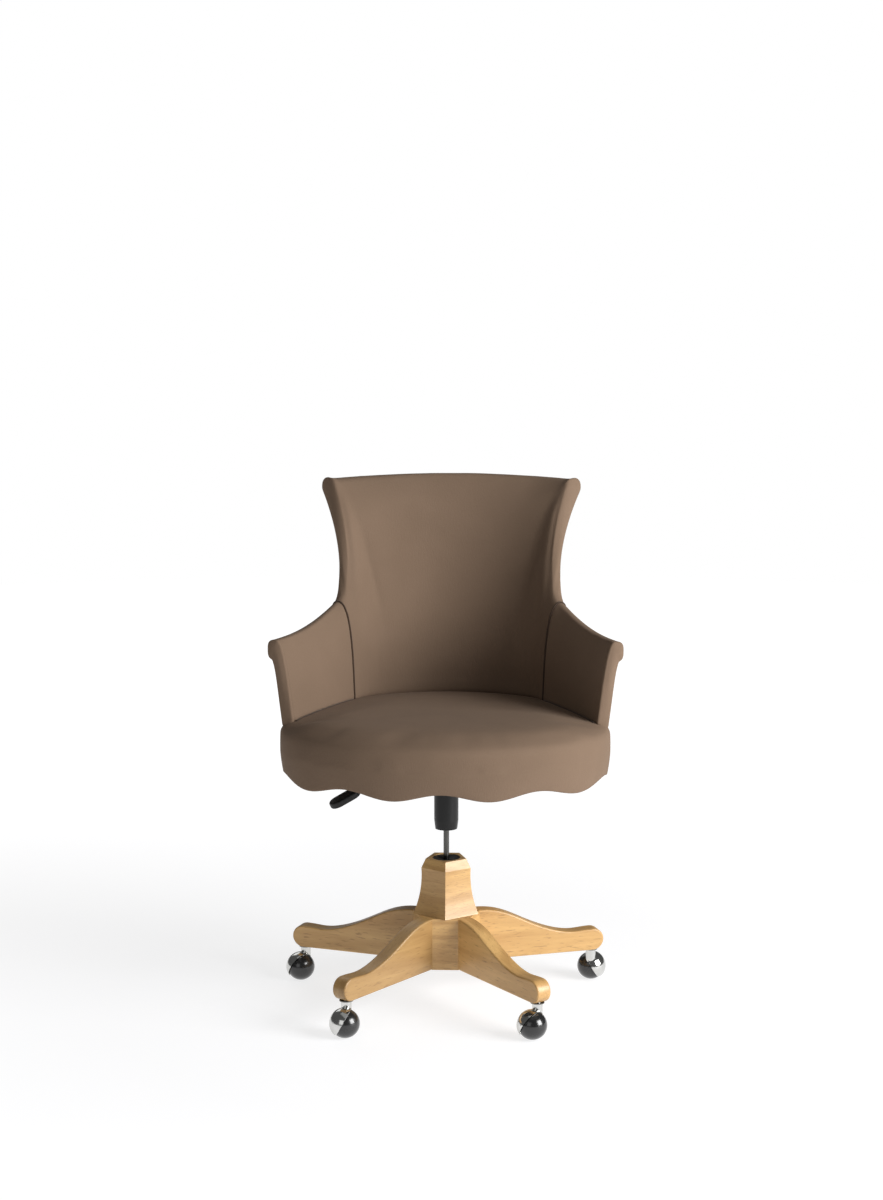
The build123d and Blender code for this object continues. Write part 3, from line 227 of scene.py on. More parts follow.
def evenly(values, places, count):
    """Values at equal steps along a row of places, which has one place for each value."""
    lengths = [0.0]
    for before, after in zip(places, places[1:]):
        lengths.append(lengths[-1] + (after - before).length)
    even = []
    sample = 0
    for index in range(count + 1):
        wanted = lengths[-1] * index / count
        while sample < len(values) - 2 and lengths[sample + 1] < wanted:
            sample += 1
        share = (wanted - lengths[sample]) / (lengths[sample + 1] - lengths[sample])
        even.append(lerp(values[sample], values[sample + 1], share))
    return even


def linked(name, data):
    """New object in the scene."""
    thing = bpy.data.objects.new(name, data)
    bpy.context.scene.collection.objects.link(thing)
    return thing


def mesh_piece(name, points, faces):
    """New smooth-shaded object with its normals facing outwards."""
    mesh = bpy.data.meshes.new(name)
    mesh.from_pydata([tuple(point) for point in points], [], faces)
    shape = bmesh.new()
    shape.from_mesh(mesh)
    bmesh.ops.recalc_face_normals(shape, faces=shape.faces)
    shape.to_mesh(mesh)
    shape.free()
    mesh.shade_smooth()
    return linked(name, mesh)


def ring_faces(rings, count):
    """Faces between a number of closed rings, whose points follow each other."""
    faces = []
    for ring in range(rings - 1):
        for index in range(count):
            near = ring * count + index
            after = ring * count + (index + 1) % count
            faces.append((near, after, after + count, near + count))
    return faces


def path_object(name, points, closed=False):
    """Curve object that runs straight from point to point."""
    curve = bpy.data.curves.new(name, "CURVE")
    curve.dimensions = "3D"
    spline = curve.splines.new("POLY")
    spline.points.add(len(points) - 1)
    for place, point in zip(spline.points, points):
        place.co = (*point, 1)
    spline.use_cyclic_u = closed
    return linked(name, curve)


def dress(piece, material, slot, *nodes):
    """Give a piece of the seat its material, and hide the nodes that it stands for."""
    piece.data.materials.clear()
    piece.data.materials.append(material)
    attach(piece, SEAT_BODY)
    if nodes:
        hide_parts(*nodes)


def subdivide(piece, levels=1):
    """Smooth a piece with a subdivision surface."""
    smooth = piece.modifiers.new("Smooth", "SUBSURF")
    smooth.levels = levels
    smooth.render_levels = levels


def swell(piece, held, cap, pressure=4.0, frames=20, rounds=3):
    """Push a closed cover out with cloth pressure, with held points in place and no move past the cap."""
    scene = bpy.context.scene
    group = piece.vertex_groups.new(name="held")
    for index, weight in held.items():
        group.add([index], weight, "REPLACE")
    cloth = piece.modifiers.new("Stuffing", "CLOTH")
    cloth.settings.vertex_group_mass = group.name
    cloth.settings.use_pressure = True
    cloth.settings.uniform_pressure_force = pressure
    cloth.settings.effector_weights.gravity = 0
    cloth.point_cache.frame_start = 1
    cloth.point_cache.frame_end = frames
    for step in range(1, frames + 1):
        scene.frame_set(step)
    graph = bpy.context.evaluated_depsgraph_get()
    swollen = [vertex.co.copy() for vertex in piece.evaluated_get(graph).data.vertices]
    piece.modifiers.remove(cloth)
    piece.vertex_groups.remove(group)
    scene.frame_set(1)
    for vertex, place in zip(piece.data.vertices, swollen):
        move = place - vertex.co
        if move.length > cap:
            move *= cap / move.length
        vertex.co += move
    ease(piece, held, rounds)


def ease(piece, held, rounds, cap=math.inf):
    """Take steps and folds out of a cover, away from what holds it, with no move past the cap."""
    shape = bmesh.new()
    shape.from_mesh(piece.data)
    shape.verts.ensure_lookup_table()
    free = [vertex for vertex in shape.verts if held.get(vertex.index, 0) < HELD_WEIGHT]
    start = [vertex.co.copy() for vertex in free]
    for turn in range(rounds):
        bmesh.ops.smooth_vert(
            shape, verts=free, factor=SMOOTH_SHARE, use_axis_x=True, use_axis_y=True, use_axis_z=True)
    for vertex, place in zip(free, start):
        move = vertex.co - place
        if move.length > cap:
            vertex.co = place + move * (cap / move.length)
    shape.to_mesh(piece.data)
    shape.free()


# The seat's outline and crown

def egg_point(seat, angle, inset):
    """Point on the seat's egg-shaped outline, moved in by an even inset."""
    across = seat.half_width - inset
    depth = (seat.rear if math.sin(angle) > 0 else seat.front) - inset
    return across * math.cos(angle), SEAT_WIDEST_Y + depth * math.sin(angle)


def egg_angles(seat, count, samples=2880):
    """Angles round the outline from the front middle, evenly spaced along the edge."""
    angles = [-math.pi / 2 + 2 * math.pi * index / samples for index in range(samples + 1)]
    places = [Vector(egg_point(seat, angle, 0)) for angle in angles]
    return evenly(angles, places, count)[:-1]


def crown_height(seat, inset):
    """Height of the cushion's top at a distance in from its edge."""
    level = max(0.0, 1 - inset / seat.crown_reach) ** 2
    return lerp(seat.edge, seat.top, (1 - level ** 2) ** 0.25)


def crown_at(seat, x, y):
    """Height of the cushion's top above a point of the floor."""
    depth = seat.rear if y > SEAT_WIDEST_Y else seat.front

    def outside(inset):
        across = x / (seat.half_width - inset)
        along = (y - SEAT_WIDEST_Y) / (depth - inset)
        return across ** 2 + along ** 2 > 1

    return crown_height(seat, bisect(outside, 0.0, seat.front))


def add_patch(points, faces, start, count, height):
    """Fill the ring of points that begins at start, with inner points at the height for their place."""
    side = count // 4
    ring = [Vector(points[start + index]) for index in range(count)]
    grid = {}
    for step in range(side):
        grid[0, step] = start + step
        grid[step, side] = start + side + step
        grid[side, side - step] = start + 2 * side + step
        grid[side - step, 0] = start + 3 * side + step
    for row in range(1, side):
        up = row / side
        for column in range(1, side):
            along = column / side
            front = lerp(ring[0], ring[side], along)
            back = lerp(ring[3 * side], ring[2 * side], along)
            place = (lerp(ring[column], ring[3 * side - column], up)
                     + lerp(ring[4 * side - row], ring[side + row], along) - lerp(front, back, up))
            grid[row, column] = len(points)
            points.append(Vector((place.x, place.y, height(place.x, place.y))))
    for row in range(side):
        for column in range(side):
            faces.append((
                grid[row, column], grid[row, column + 1],
                grid[row + 1, column + 1], grid[row + 1, column]))


# The tub wall's line and section

WING_SLOPE = 0.13
WING_POWER = 2.6
WING_RIM_POWER = 5
ARM_POWER = 2.2
LEAST_FLARE = 0.8
BEND_SHARE = 0.55
LIP_SHARE = 0.12
FACE_POINTS = 28
ROLL_POINTS = 14
LIP_POINT = FACE_POINTS + ROLL_POINTS
SEWN_LINES = (0, 0.04, 0.15, 0.35, 0.65)
CAP_COLUMNS = 5
CAP_FOOT_FADE = 3
CAP_TOP_FADE = 6
HELD_LINES = 4
HELD_POINTS = 2
EASED_LINES = 5
HORN_POINTS = 6
HORN_NEAR = 0.001
OUTER_EASE_PART = 12
SWOLLEN_EASE_PART = 4
LAST_ROUNDS = 12


def corner_run(tub, heading):
    """Run along the tub line where its corner faces a heading."""
    return tub.back_radius * tub.back_sweep + tub.corner_radius * (heading - tub.back_sweep)


def horn_run(tub):
    """Run at the end of the crest."""
    return corner_run(tub, tub.horn_heading)


def seam_run(tub):
    """Run at the seam between the back and an arm."""
    return corner_run(tub, tub.arm_heading) + tub.seam_setback


def tub_line(tub, run):
    """Inner foot of the wall at a run from the middle of the back, with the outward heading there."""
    if run < 0:
        x, y, heading = tub_line(tub, -run)
        return -x, y, -heading
    heading = min(run / tub.back_radius, tub.back_sweep)
    x = tub.back_radius * math.sin(heading)
    y = tub.back_foot - tub.back_radius * (1 - math.cos(heading))
    past = run - tub.back_radius * tub.back_sweep
    if past > 0:
        centre_x = x - tub.corner_radius * math.sin(heading)
        centre_y = y - tub.corner_radius * math.cos(heading)
        heading = min(heading + past / tub.corner_radius, tub.arm_heading)
        x = centre_x + tub.corner_radius * math.sin(heading)
        y = centre_y + tub.corner_radius * math.cos(heading)
    straight = max(0.0, run - corner_run(tub, tub.arm_heading))
    return x + straight * math.cos(heading), y - straight * math.sin(heading), heading


def tub_place(tub, run, out, up):
    """Point at a distance outward from the tub line and at a height."""
    x, y, heading = tub_line(tub, run)
    return Vector((x + out * math.sin(heading), y + out * math.cos(heading), up))


def station(tub, run):
    """Rise, reach, lean and roll of the wall at a run, eased from crest to horn, seam and arm front."""
    run = abs(run)
    if run <= horn_run(tub):
        rise = rim = (run / horn_run(tub)) ** 2
        start, end = tub.crest, tub.horn
    elif run <= seam_run(tub):
        left = (seam_run(tub) - run) / (seam_run(tub) - horn_run(tub))
        rise = 1 - WING_SLOPE * left - (1 - WING_SLOPE) * left ** WING_POWER
        rim = 1 - left ** WING_RIM_POWER
        start, end = tub.horn, tub.seam
    else:
        rise = rim = 1 - max(0.0, 1 - (run - seam_run(tub)) / tub.arm_run) ** ARM_POWER
        start, end = tub.seam, tub.arm_front
    eases = (rise, rim, rim, rim)
    return [lerp(first, last, share) for first, last, share in zip(start, end, eases)]


def bezier(points, share):
    """Point on a cubic curve."""
    rest = 1 - share
    weights = (rest ** 3, 3 * rest ** 2 * share, 3 * rest * share ** 2, share ** 3)
    return Vector((
        sum(weight * point[0] for weight, point in zip(weights, points)),
        sum(weight * point[1] for weight, point in zip(weights, points))))


def share_at(curve, height):
    """Share along a rising curve where it reaches a height."""
    return bisect(lambda share: bezier(curve, share)[1] >= height, 0.0, 1.0)


def face_points(curve, foot):
    """Points up a wall face from the height of its foot, nearer together at its top."""
    low = share_at(curve, foot)
    return [bezier(curve, lerp(low, 1.0, index / (FACE_POINTS - 1))) for index in range(FACE_POINTS)]


def squared(value, power):
    """A sine or cosine for a circle that is partly squared."""
    return math.copysign(abs(value) ** power, value)


def wall_form(tub, run):
    """Top, height, crown, flare, bend, lean and roll of the wall at a run."""
    rise, reach, lean, roll = station(tub, run)
    top = BOARD_HIGH.z + rise
    height = top - tub.foot
    crown = reach - roll
    flare = max(crown - lean * height, LEAST_FLARE * roll)
    return top, height, crown, flare, BEND_SHARE * height, lean, roll


def inner_curve(tub, run):
    """Control points of the wall's inner face."""
    top, height, crown, flare, bend, lean, roll = wall_form(tub, run)
    return [(0, tub.foot), (bend * lean, tub.foot + bend), (crown - flare, top), (crown, top)]


def inner_reach(tub, run, up):
    """How far out the wall's inner face is at a run and a height."""
    curve = inner_curve(tub, run)
    return bezier(curve, share_at(curve, up))[0]


def fold_fill(tub, run, up, samples=8):
    """How far the stuffing fills the fold below a horn, for a gentle turn from the back to its wing."""
    run = abs(run)
    before_seam = seam_run(tub) - run
    if run <= horn_run(tub) or before_seam <= 0:
        return 0.0
    below_rim = inner_curve(tub, run)[-1][1] - up
    window = (tub.fold_run * min(1.0, max(0.0, below_rim) / tub.fold_depth) ** 2
              * min(1.0, before_seam / tub.fold_seam))
    reaches = [inner_reach(tub, run - window * index / samples, up) for index in range(samples + 1)]
    return reaches[0] - sum(reaches) / len(reaches)


def wall_profile(tub, seat, run):
    """Outward and upward places round the wall, from its inner foot over the roll to its outer foot."""
    top, height, crown, flare, bend, lean, roll = wall_form(tub, run)
    centre = Vector((crown, top - roll))
    along_arm = min(max((abs(run) - seam_run(tub)) / tub.arm_run, 0.0), 1.0)
    power = 2 / lerp(2.0, tub.roll_square, along_arm)
    arc = [centre + roll * Vector((squared(math.sin(turn), power), squared(math.cos(turn), power)))
           for turn in (tub.roll_sweep * index / ROLL_POINTS for index in range(1, ROLL_POINTS + 1))]
    lip = arc[-1] - Vector((tub.roll_notch, tub.roll_notch / 2))
    outer = [(tub.wall, tub.foot), (tub.wall + bend * lean, tub.foot + bend),
             (lip.x - flare / 2, lip.y - LIP_SHARE * height), lip]
    feet = [tub_place(tub, run, out, 0) for out in (0, tub.wall)]
    inner_foot, outer_foot = [crown_at(seat, foot.x, foot.y) - tub.sink for foot in feet]
    return face_points(inner_curve(tub, run), inner_foot) + arc + face_points(outer, outer_foot)[::-1]


def drawn_in(profile, depth):
    """The same profile moved in from its skin."""
    moved = []
    for index, place in enumerate(profile):
        before = profile[max(index - 1, 0)]
        after = profile[min(index + 1, len(profile) - 1)]
        along = (after - before).normalized()
        moved.append(place + depth * Vector((along.y, -along.x)))
    return moved


def profile_line(tub, run, profile):
    """Points of a profile that stands at a run."""
    return [tub_place(tub, run, place.x, place.y) for place in profile]


def sewn_depth(distance, edge_round):
    """How far a cover is drawn in at a distance from its sewn edge."""
    left = max(0.0, edge_round - distance)
    return edge_round - math.sqrt(edge_round ** 2 - left ** 2)


def rim_runs(tub, start, end, step=0.007, samples=300):
    """Runs from one end of a stretch to the other, at even steps along its rim."""
    runs = [lerp(start, end, index / samples) for index in range(samples + 1)]
    places = []
    for run in runs:
        rise, reach, lean, roll = station(tub, run)
        places.append(tub_place(tub, run, reach, rise))
    length = sum((after - before).length for before, after in zip(places, places[1:]))
    return evenly(runs, places, max(2, round(length / step)))


def pad_lines(tub, start, end):
    """Foot and rim runs of the lines across a pad, which fan out upwards and close up at sewn edges."""
    near = [tub.edge_round * share for share in SEWN_LINES]
    first = start + tub.edge_round
    last = end - tub.edge_round
    stops = [run for run in (-horn_run(tub), 0, horn_run(tub)) if first < run < last] + [last]
    rims = [first]
    for stop in stops:
        rims += rim_runs(tub, rims[-1], stop)[1:]
    feet = [lerp(first, last, index / (len(rims) - 1)) for index in range(len(rims))]
    head = [(start + distance, start + distance) for distance in near]
    tail = [(end - distance, end - distance) for distance in reversed(near)]
    return head + list(zip(feet, rims)) + tail


def climbs():
    """Share of the way from foot to rim for each place of a profile, eased."""
    shares = [index / (FACE_POINTS - 1) for index in range(FACE_POINTS)]
    face = [share * share * (3 - 2 * share) for share in shares]
    return face + [1.0] * ROLL_POINTS + face[::-1]


def add_cap(points, faces, start, count, bulge):
    """Close the ring of points that begins at start, with columns across it that bulge by a vector."""
    half = count // 2
    columns = []
    for index in range(half):
        near = points[start + index]
        far = points[start + count - 1 - index]
        line = [start + index]
        fade = min(1.0, CAP_FOOT_FADE * index / half, CAP_TOP_FADE * (1 - (index + 1) / half))
        for column in range(1, CAP_COLUMNS):
            share = column / CAP_COLUMNS
            line.append(len(points))
            points.append(lerp(near, far, share) + 4 * share * (1 - share) * fade * bulge)
        line.append(start + count - 1 - index)
        columns.append(line)
    for lower, upper in zip(columns, columns[1:]):
        for column in range(CAP_COLUMNS):
            faces.append((lower[column], lower[column + 1], upper[column + 1], upper[column]))
    faces.append(tuple(columns[-1]))


def pad_mesh(name, rings, bulge=Vector((0, 0, 0))):
    """Closed pad through rings of points, each from an inner foot over the rim to an outer foot."""
    count = len(rings[0])
    points = [point for ring in rings for point in ring]
    faces = ring_faces(len(rings), count)
    add_cap(points, faces, 0, count, Vector((0, 0, 0)))
    add_cap(points, faces, (len(rings) - 1) * count, count, bulge)
    return mesh_piece(name, points, faces)


def wall_pad(name, tub, seat, start, end):
    """Padded length of the tub wall, eased and swollen between its sewn edges."""
    lines = pad_lines(tub, start, end)
    rings = []
    for foot, rim in lines:
        ring = []
        for index, climb in enumerate(climbs()):
            run = lerp(foot, rim, climb)
            depth = sewn_depth(min(run - start, end - run), tub.edge_round)
            place = drawn_in(wall_profile(tub, seat, run), depth)[index]
            if index < FACE_POINTS:
                place.x -= fold_fill(tub, run, place.y)
            ring.append(tub_place(tub, run, place.x, place.y))
        rings.append(ring)
    piece = pad_mesh(name, rings)
    count = len(rings[0])
    held = {}
    borders = ({}, {})
    for index in range(len(piece.data.vertices)):
        ring, place = divmod(index, count)
        from_end = min(ring, len(rings) - 1 - ring)
        from_foot = min(place, count - 1 - place)
        if from_end < HELD_LINES or min(from_foot, abs(place - LIP_POINT)) < HELD_POINTS:
            held[index] = 1.0
        elif abs(abs(lines[ring][1]) - horn_run(tub)) < HORN_NEAR and place > FACE_POINTS - HORN_POINTS:
            held[index] = 1.0
        for border, first in zip(borders, (0, LIP_POINT)):
            up = place - first
            if from_end < EASED_LINES or min(up, FACE_POINTS - 1 - up) <= HELD_POINTS:
                border[index] = 1.0
    for border, part in zip(borders, (1, OUTER_EASE_PART)):
        ease(piece, border, tub.fold_ease // part, tub.fold_cap)
        ease(piece, border, LAST_ROUNDS)
    swell(piece, held, tub.swell)
    ease(piece, borders[0], tub.fold_ease // SWOLLEN_EASE_PART, tub.swell)
    ease(piece, borders[0], LAST_ROUNDS)
    subdivide(piece)
    return piece


# Materials

class Nodes:
    """A node tree under construction."""

    def put(self, node, socket, value):
        """Set a socket, or join it to another node's output."""
        if isinstance(value, bpy.types.NodeSocket):
            self.tree.links.new(value, node.inputs[socket])
        else:
            node.inputs[socket].default_value = value

    def add(self, kind, sockets=(), **settings):
        """Add a node with its settings and its sockets, given as pairs."""
        node = self.tree.nodes.new(kind)
        for name, value in settings.items():
            setattr(node, name, value)
        for socket, value in sockets:
            self.put(node, socket, value)
        return node


class Finish(Nodes):
    """A material under construction, with its surface shader."""

    def __init__(self, name):
        self.material = bpy.data.materials.new(name)
        self.material.use_nodes = True
        self.tree = self.material.node_tree
        self.shader = self.tree.nodes["Principled BSDF"]

    def surface(self, **sockets):
        """Set the surface shader's sockets, named with underscores for spaces, and return the material."""
        for name, value in sockets.items():
            self.put(self.shader, name.replace("_", " "), value)
        return self.material

    def place(self, scale=(1, 1, 1), turn=(0, 0, 0), shift=(0, 0, 0)):
        """Object coordinates, turned, moved and then stretched."""
        coordinates = self.add("ShaderNodeTexCoord").outputs["Object"]
        turned = self.add("ShaderNodeMapping", [
            ("Vector", coordinates), ("Location", shift), ("Rotation", turn)]).outputs["Vector"]
        return self.add("ShaderNodeMapping", [("Vector", turned), ("Scale", scale)]).outputs["Vector"]

    def grain(self, vector, scale, detail=4.0, roughness=0.5, distortion=0.0):
        """Noise value at a scale."""
        return self.add("ShaderNodeTexNoise", [
            ("Vector", vector), ("Scale", scale), ("Detail", detail), ("Roughness", roughness),
            ("Distortion", distortion)]).outputs["Fac"]

    def remap(self, value, low, high, start=0.0, end=1.0):
        """A value's range spread to another range, and held inside it."""
        return self.add("ShaderNodeMapRange", [
            ("Value", value), ("From Min", low), ("From Max", high), ("To Min", start), ("To Max", end),
        ]).outputs["Result"]

    def mix(self, share, first, second):
        """Colour between two colours."""
        sockets = [(0, share), (6, first), (7, second)]
        return self.add("ShaderNodeMix", sockets, data_type="RGBA").outputs[2]

    def part(self, value, share):
        """A share of a value."""
        return self.add("ShaderNodeMath", [(0, value), (1, share)], operation="MULTIPLY").outputs["Value"]

    def bump(self, height, distance, strength=1.0, normal=None):
        """Surface normal from a height."""
        sockets = [("Height", height), ("Distance", distance), ("Strength", strength)]
        if normal is not None:
            sockets.append(("Normal", normal))
        return self.add("ShaderNodeBump", sockets).outputs["Normal"]


def opaque(colour, tone=1.0):
    """Colour with full alpha, lighter or darker by a tone."""
    return (*[part * tone for part in colour], 1.0)


def cloth_finish(name, colours):
    """Short-napped upholstery cloth: brushed patches, fine fibres and a soft sheen."""
    finish = Finish(name)
    vector = finish.place()
    brushed = finish.remap(finish.grain(vector, scale=9, detail=2, distortion=0.4), 0.30, 0.70)
    fibres = finish.grain(vector, scale=900, detail=2, roughness=0.6)
    weave = finish.grain(finish.place(scale=(1, 1, 0.35)), scale=420, detail=2)
    woven = finish.bump(weave, distance=0.0006, strength=0.45)
    patch = finish.mix(finish.part(brushed, 0.35), opaque(colours.cloth), opaque(colours.cloth_nap))
    speck = finish.remap(fibres, 0.35, 0.65, 0.0, 0.30)
    return finish.surface(
        Base_Color=finish.mix(speck, patch, opaque(colours.cloth, 0.72)),
        Roughness=finish.remap(brushed, 0, 1, 0.82, 0.94),
        Normal=finish.bump(fibres, distance=0.0004, strength=0.5, normal=woven),
        Sheen_Weight=0.04, Sheen_Roughness=0.45, Sheen_Tint=(0.80, 0.70, 0.60, 1.0),
        Specular_IOR_Level=0.18)


def welt_finish(colours):
    """Dark cord sewn into the seams."""
    finish = Finish("seam_cord")
    twist = finish.grain(finish.place(), scale=700, detail=2, roughness=0.6)
    return finish.surface(
        Base_Color=finish.mix(twist, opaque(colours.welt), opaque(colours.welt, 1.9)),
        Roughness=0.85, Normal=finish.bump(twist, distance=0.0003, strength=0.6),
        Sheen_Weight=0.15, Specular_IOR_Level=0.2)


def oak_finish(name, colours, turn, shift, tone=1.0, stretch=(1.1, 13, 9), pore_stretch=9):
    """Light oak: growth bands, fine lines and open pores, drawn out by the stretch, under a lacquer."""
    finish = Finish(name)
    # A tone other than 1 lightens or darkens all the oak; the legs use it as painted light and shade.
    light = opaque(colours.oak, tone)
    dark = opaque(colours.oak_grain, tone)
    turned = {"turn": (0, 0, -turn), "shift": shift}
    straight = finish.place(scale=stretch, **turned)
    growth = finish.grain(straight, scale=2.6, detail=5, roughness=0.55, distortion=0.9)
    bands = finish.remap(growth, 0.36, 0.64)
    lines = finish.grain(straight, scale=17, roughness=0.6, distortion=0.3)
    fine = finish.remap(lines, 0.35, 0.68)
    lined = finish.bump(fine, distance=0.0005, strength=0.12)
    thin = finish.place(scale=[pore_stretch * part for part in stretch], **turned)
    pores = finish.grain(thin, scale=5, detail=2)
    board = finish.mix(finish.part(bands, 0.62), light, dark)
    board = finish.mix(finish.part(fine, 0.28), board, dark)
    open_pores = finish.remap(pores, 0.60, 0.70, 0.0, 0.55)
    return finish.surface(
        Base_Color=finish.mix(open_pores, board, opaque(colours.oak_pore)),
        Roughness=finish.remap(bands, 0, 1, 0.36, 0.46),
        Normal=finish.bump(pores, distance=0.0004, strength=0.25, normal=lined),
        Coat_Weight=0.18, Coat_Roughness=0.28)


def plywood_finish(colours):
    """Thin veneers, lighter and darker by turns through the thickness."""
    finish = Finish("plywood")
    vector = finish.place(scale=(2, 14, 1))
    grain = finish.remap(finish.grain(vector, scale=6, roughness=0.55, distortion=0.4), 0.35, 0.65)
    plies = finish.add("ShaderNodeTexWave", [
        ("Vector", finish.place()), ("Scale", 105.0), ("Distortion", 0.6), ("Detail", 1.0)],
        bands_direction="Z").outputs["Fac"]
    veneer = finish.mix(grain, opaque(colours.plywood), opaque(colours.plywood, 0.78))
    return finish.surface(
        Base_Color=finish.mix(finish.part(plies, 0.35), veneer, opaque(colours.plywood_glue)),
        Roughness=0.7, Normal=finish.bump(grain, distance=0.0004, strength=0.2))


def dust_cloth_finish(colours):
    """Thin bonded cloth with a pressed dot pattern."""
    finish = Finish("dust_cloth")
    cells = finish.add("ShaderNodeTexVoronoi", [("Vector", finish.place()), ("Scale", 420.0)])
    fibres = finish.grain(finish.place(), scale=160, roughness=0.7)
    return finish.surface(
        Base_Color=finish.mix(fibres, opaque(colours.dust_cloth), opaque(colours.dust_cloth, 2.4)),
        Roughness=0.9, Specular_IOR_Level=0.2,
        Normal=finish.bump(cells.outputs["Distance"], distance=0.0003, strength=0.5))


def painted_finish(name, colour, roughness, peel, **sockets):
    """Painted or moulded surface with a faint peel and small changes of gloss."""
    finish = Finish(name)
    vector = finish.place()
    skin = finish.grain(vector, scale=peel, detail=3)
    rubbed = finish.remap(finish.grain(vector, scale=22, roughness=0.6), 0.35, 0.70)
    return finish.surface(
        Base_Color=finish.mix(rubbed, opaque(colour), opaque(colour, 1.7)),
        Roughness=finish.remap(rubbed, 0, 1, roughness, roughness + 0.14),
        Normal=finish.bump(skin, distance=0.0003, strength=0.18), **sockets)


def metal_finish(name, colour, roughness, stretch):
    """Bare or polished metal with fine lines and small changes of polish."""
    finish = Finish(name)
    lines = finish.grain(finish.place(scale=stretch), scale=60, detail=3, roughness=0.6)
    cloud = finish.remap(finish.grain(finish.place(), scale=45, detail=3, roughness=0.6), 0.35, 0.7)
    return finish.surface(
        Base_Color=finish.mix(cloud, opaque(colour), opaque(colour, 0.86)),
        Metallic=1.0, Roughness=finish.remap(cloud, 0, 1, roughness, roughness + 0.09),
        Normal=finish.bump(lines, distance=0.0002, strength=0.05))


def floor_finish(colours):
    """Pale, even studio floor with a soft glow that grows towards its edge, as under floor lights."""
    finish = Finish("studio_floor")
    vector = finish.place()
    cloud = finish.grain(vector, scale=0.8, detail=2)
    distance = finish.add("ShaderNodeVectorMath", [(0, vector)], operation="LENGTH").outputs["Value"]
    return finish.surface(
        Base_Color=finish.mix(cloud, opaque(colours.floor), opaque(colours.floor, 0.985)),
        Roughness=0.75, Specular_IOR_Level=0.1, Emission_Color=WHITE,
        Emission_Strength=finish.remap(distance, 0.6, 2.6, 0.77, 1.0))


def backdrop_finish():
    """Even white backdrop."""
    return Finish("studio_backdrop").surface(
        Base_Color=(0.0, 0.0, 0.0, 1.0), Roughness=1.0, Specular_IOR_Level=0.0,
        Emission_Color=WHITE, Emission_Strength=1.0)


def paint(material, *nodes):
    """Give frame nodes a material."""
    for name in nodes:
        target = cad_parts[name]
        target.data.materials.clear()
        target.data.materials.append(material)


# Trees of geometry nodes

class Trim(Nodes):
    """A geometry node tree under construction, with named inputs."""

    def __init__(self, name):
        self.tree = bpy.data.node_groups.new(name, "GeometryNodeTree")
        self.tree.is_modifier = True
        self.inputs = {}
        for way in ("INPUT", "OUTPUT"):
            self.tree.interface.new_socket("Geometry", in_out=way, socket_type="NodeSocketGeometry")
        self.entry = self.tree.nodes.new("NodeGroupInput")
        self.exit = self.tree.nodes.new("NodeGroupOutput")

    def ask(self, name, kind="NodeSocketFloat"):
        """Add a named input, and return its socket."""
        socket = self.tree.interface.new_socket(name, in_out="INPUT", socket_type=kind)
        self.inputs[name] = socket.identifier
        return self.entry.outputs[name]

    def close(self, geometry):
        """Realize what the tree has made, give it the material, end the tree and return it."""
        real = self.add("GeometryNodeRealizeInstances", [("Geometry", geometry)])
        painted = self.add("GeometryNodeSetMaterial", [
            ("Geometry", real.outputs["Geometry"]),
            ("Material", self.ask("Material", "NodeSocketMaterial"))])
        self.put(self.exit, "Geometry", painted.outputs["Geometry"])
        return self

    def make(self, name, path, **values):
        """Run the tree on a path and return the result as a plain mesh object."""
        modifier = path.modifiers.new("Trim", "NODES")
        modifier.node_group = self.tree
        for label, value in values.items():
            modifier[self.inputs[label]] = value
        graph = bpy.context.evaluated_depsgraph_get()
        mesh = bpy.data.meshes.new_from_object(path.evaluated_get(graph))
        mesh.name = name
        path.modifiers.remove(modifier)
        bpy.data.objects.remove(path)
        mesh.shade_smooth()
        return linked(name, mesh)


def cord_tree(sides=8):
    """Tree that lays a round cord along a path."""
    trim = Trim("seam_cord_tree")
    ring = trim.add("GeometryNodeCurvePrimitiveCircle", [
        ("Resolution", sides), ("Radius", trim.ask("Radius"))])
    tube = trim.add("GeometryNodeCurveToMesh", [
        ("Curve", trim.entry.outputs["Geometry"]), ("Profile Curve", ring.outputs["Curve"]),
        ("Fill Caps", True)])
    return trim.close(tube.outputs["Mesh"])


def stitch_tree(sides=6):
    """Tree that sets a row of short round bars along a path, for stitches and staples."""
    trim = Trim("stitch_tree")
    places = trim.add("GeometryNodeCurveToPoints", [
        ("Curve", trim.entry.outputs["Geometry"]), ("Length", trim.ask("Spacing"))], mode="LENGTH")
    bar = trim.add("GeometryNodeMeshCylinder", [
        ("Vertices", sides), ("Radius", trim.ask("Radius")), ("Depth", trim.ask("Length"))])
    turn = trim.add("FunctionNodeAlignRotationToVector", [
        ("Vector", places.outputs["Tangent"])], axis="Z")
    bars = trim.add("GeometryNodeInstanceOnPoints", [
        ("Points", places.outputs["Points"]), ("Instance", bar.outputs["Mesh"]),
        ("Rotation", turn.outputs["Rotation"])])
    return trim.close(bars.outputs["Instances"])


# Operators, one for each piece or group of like pieces

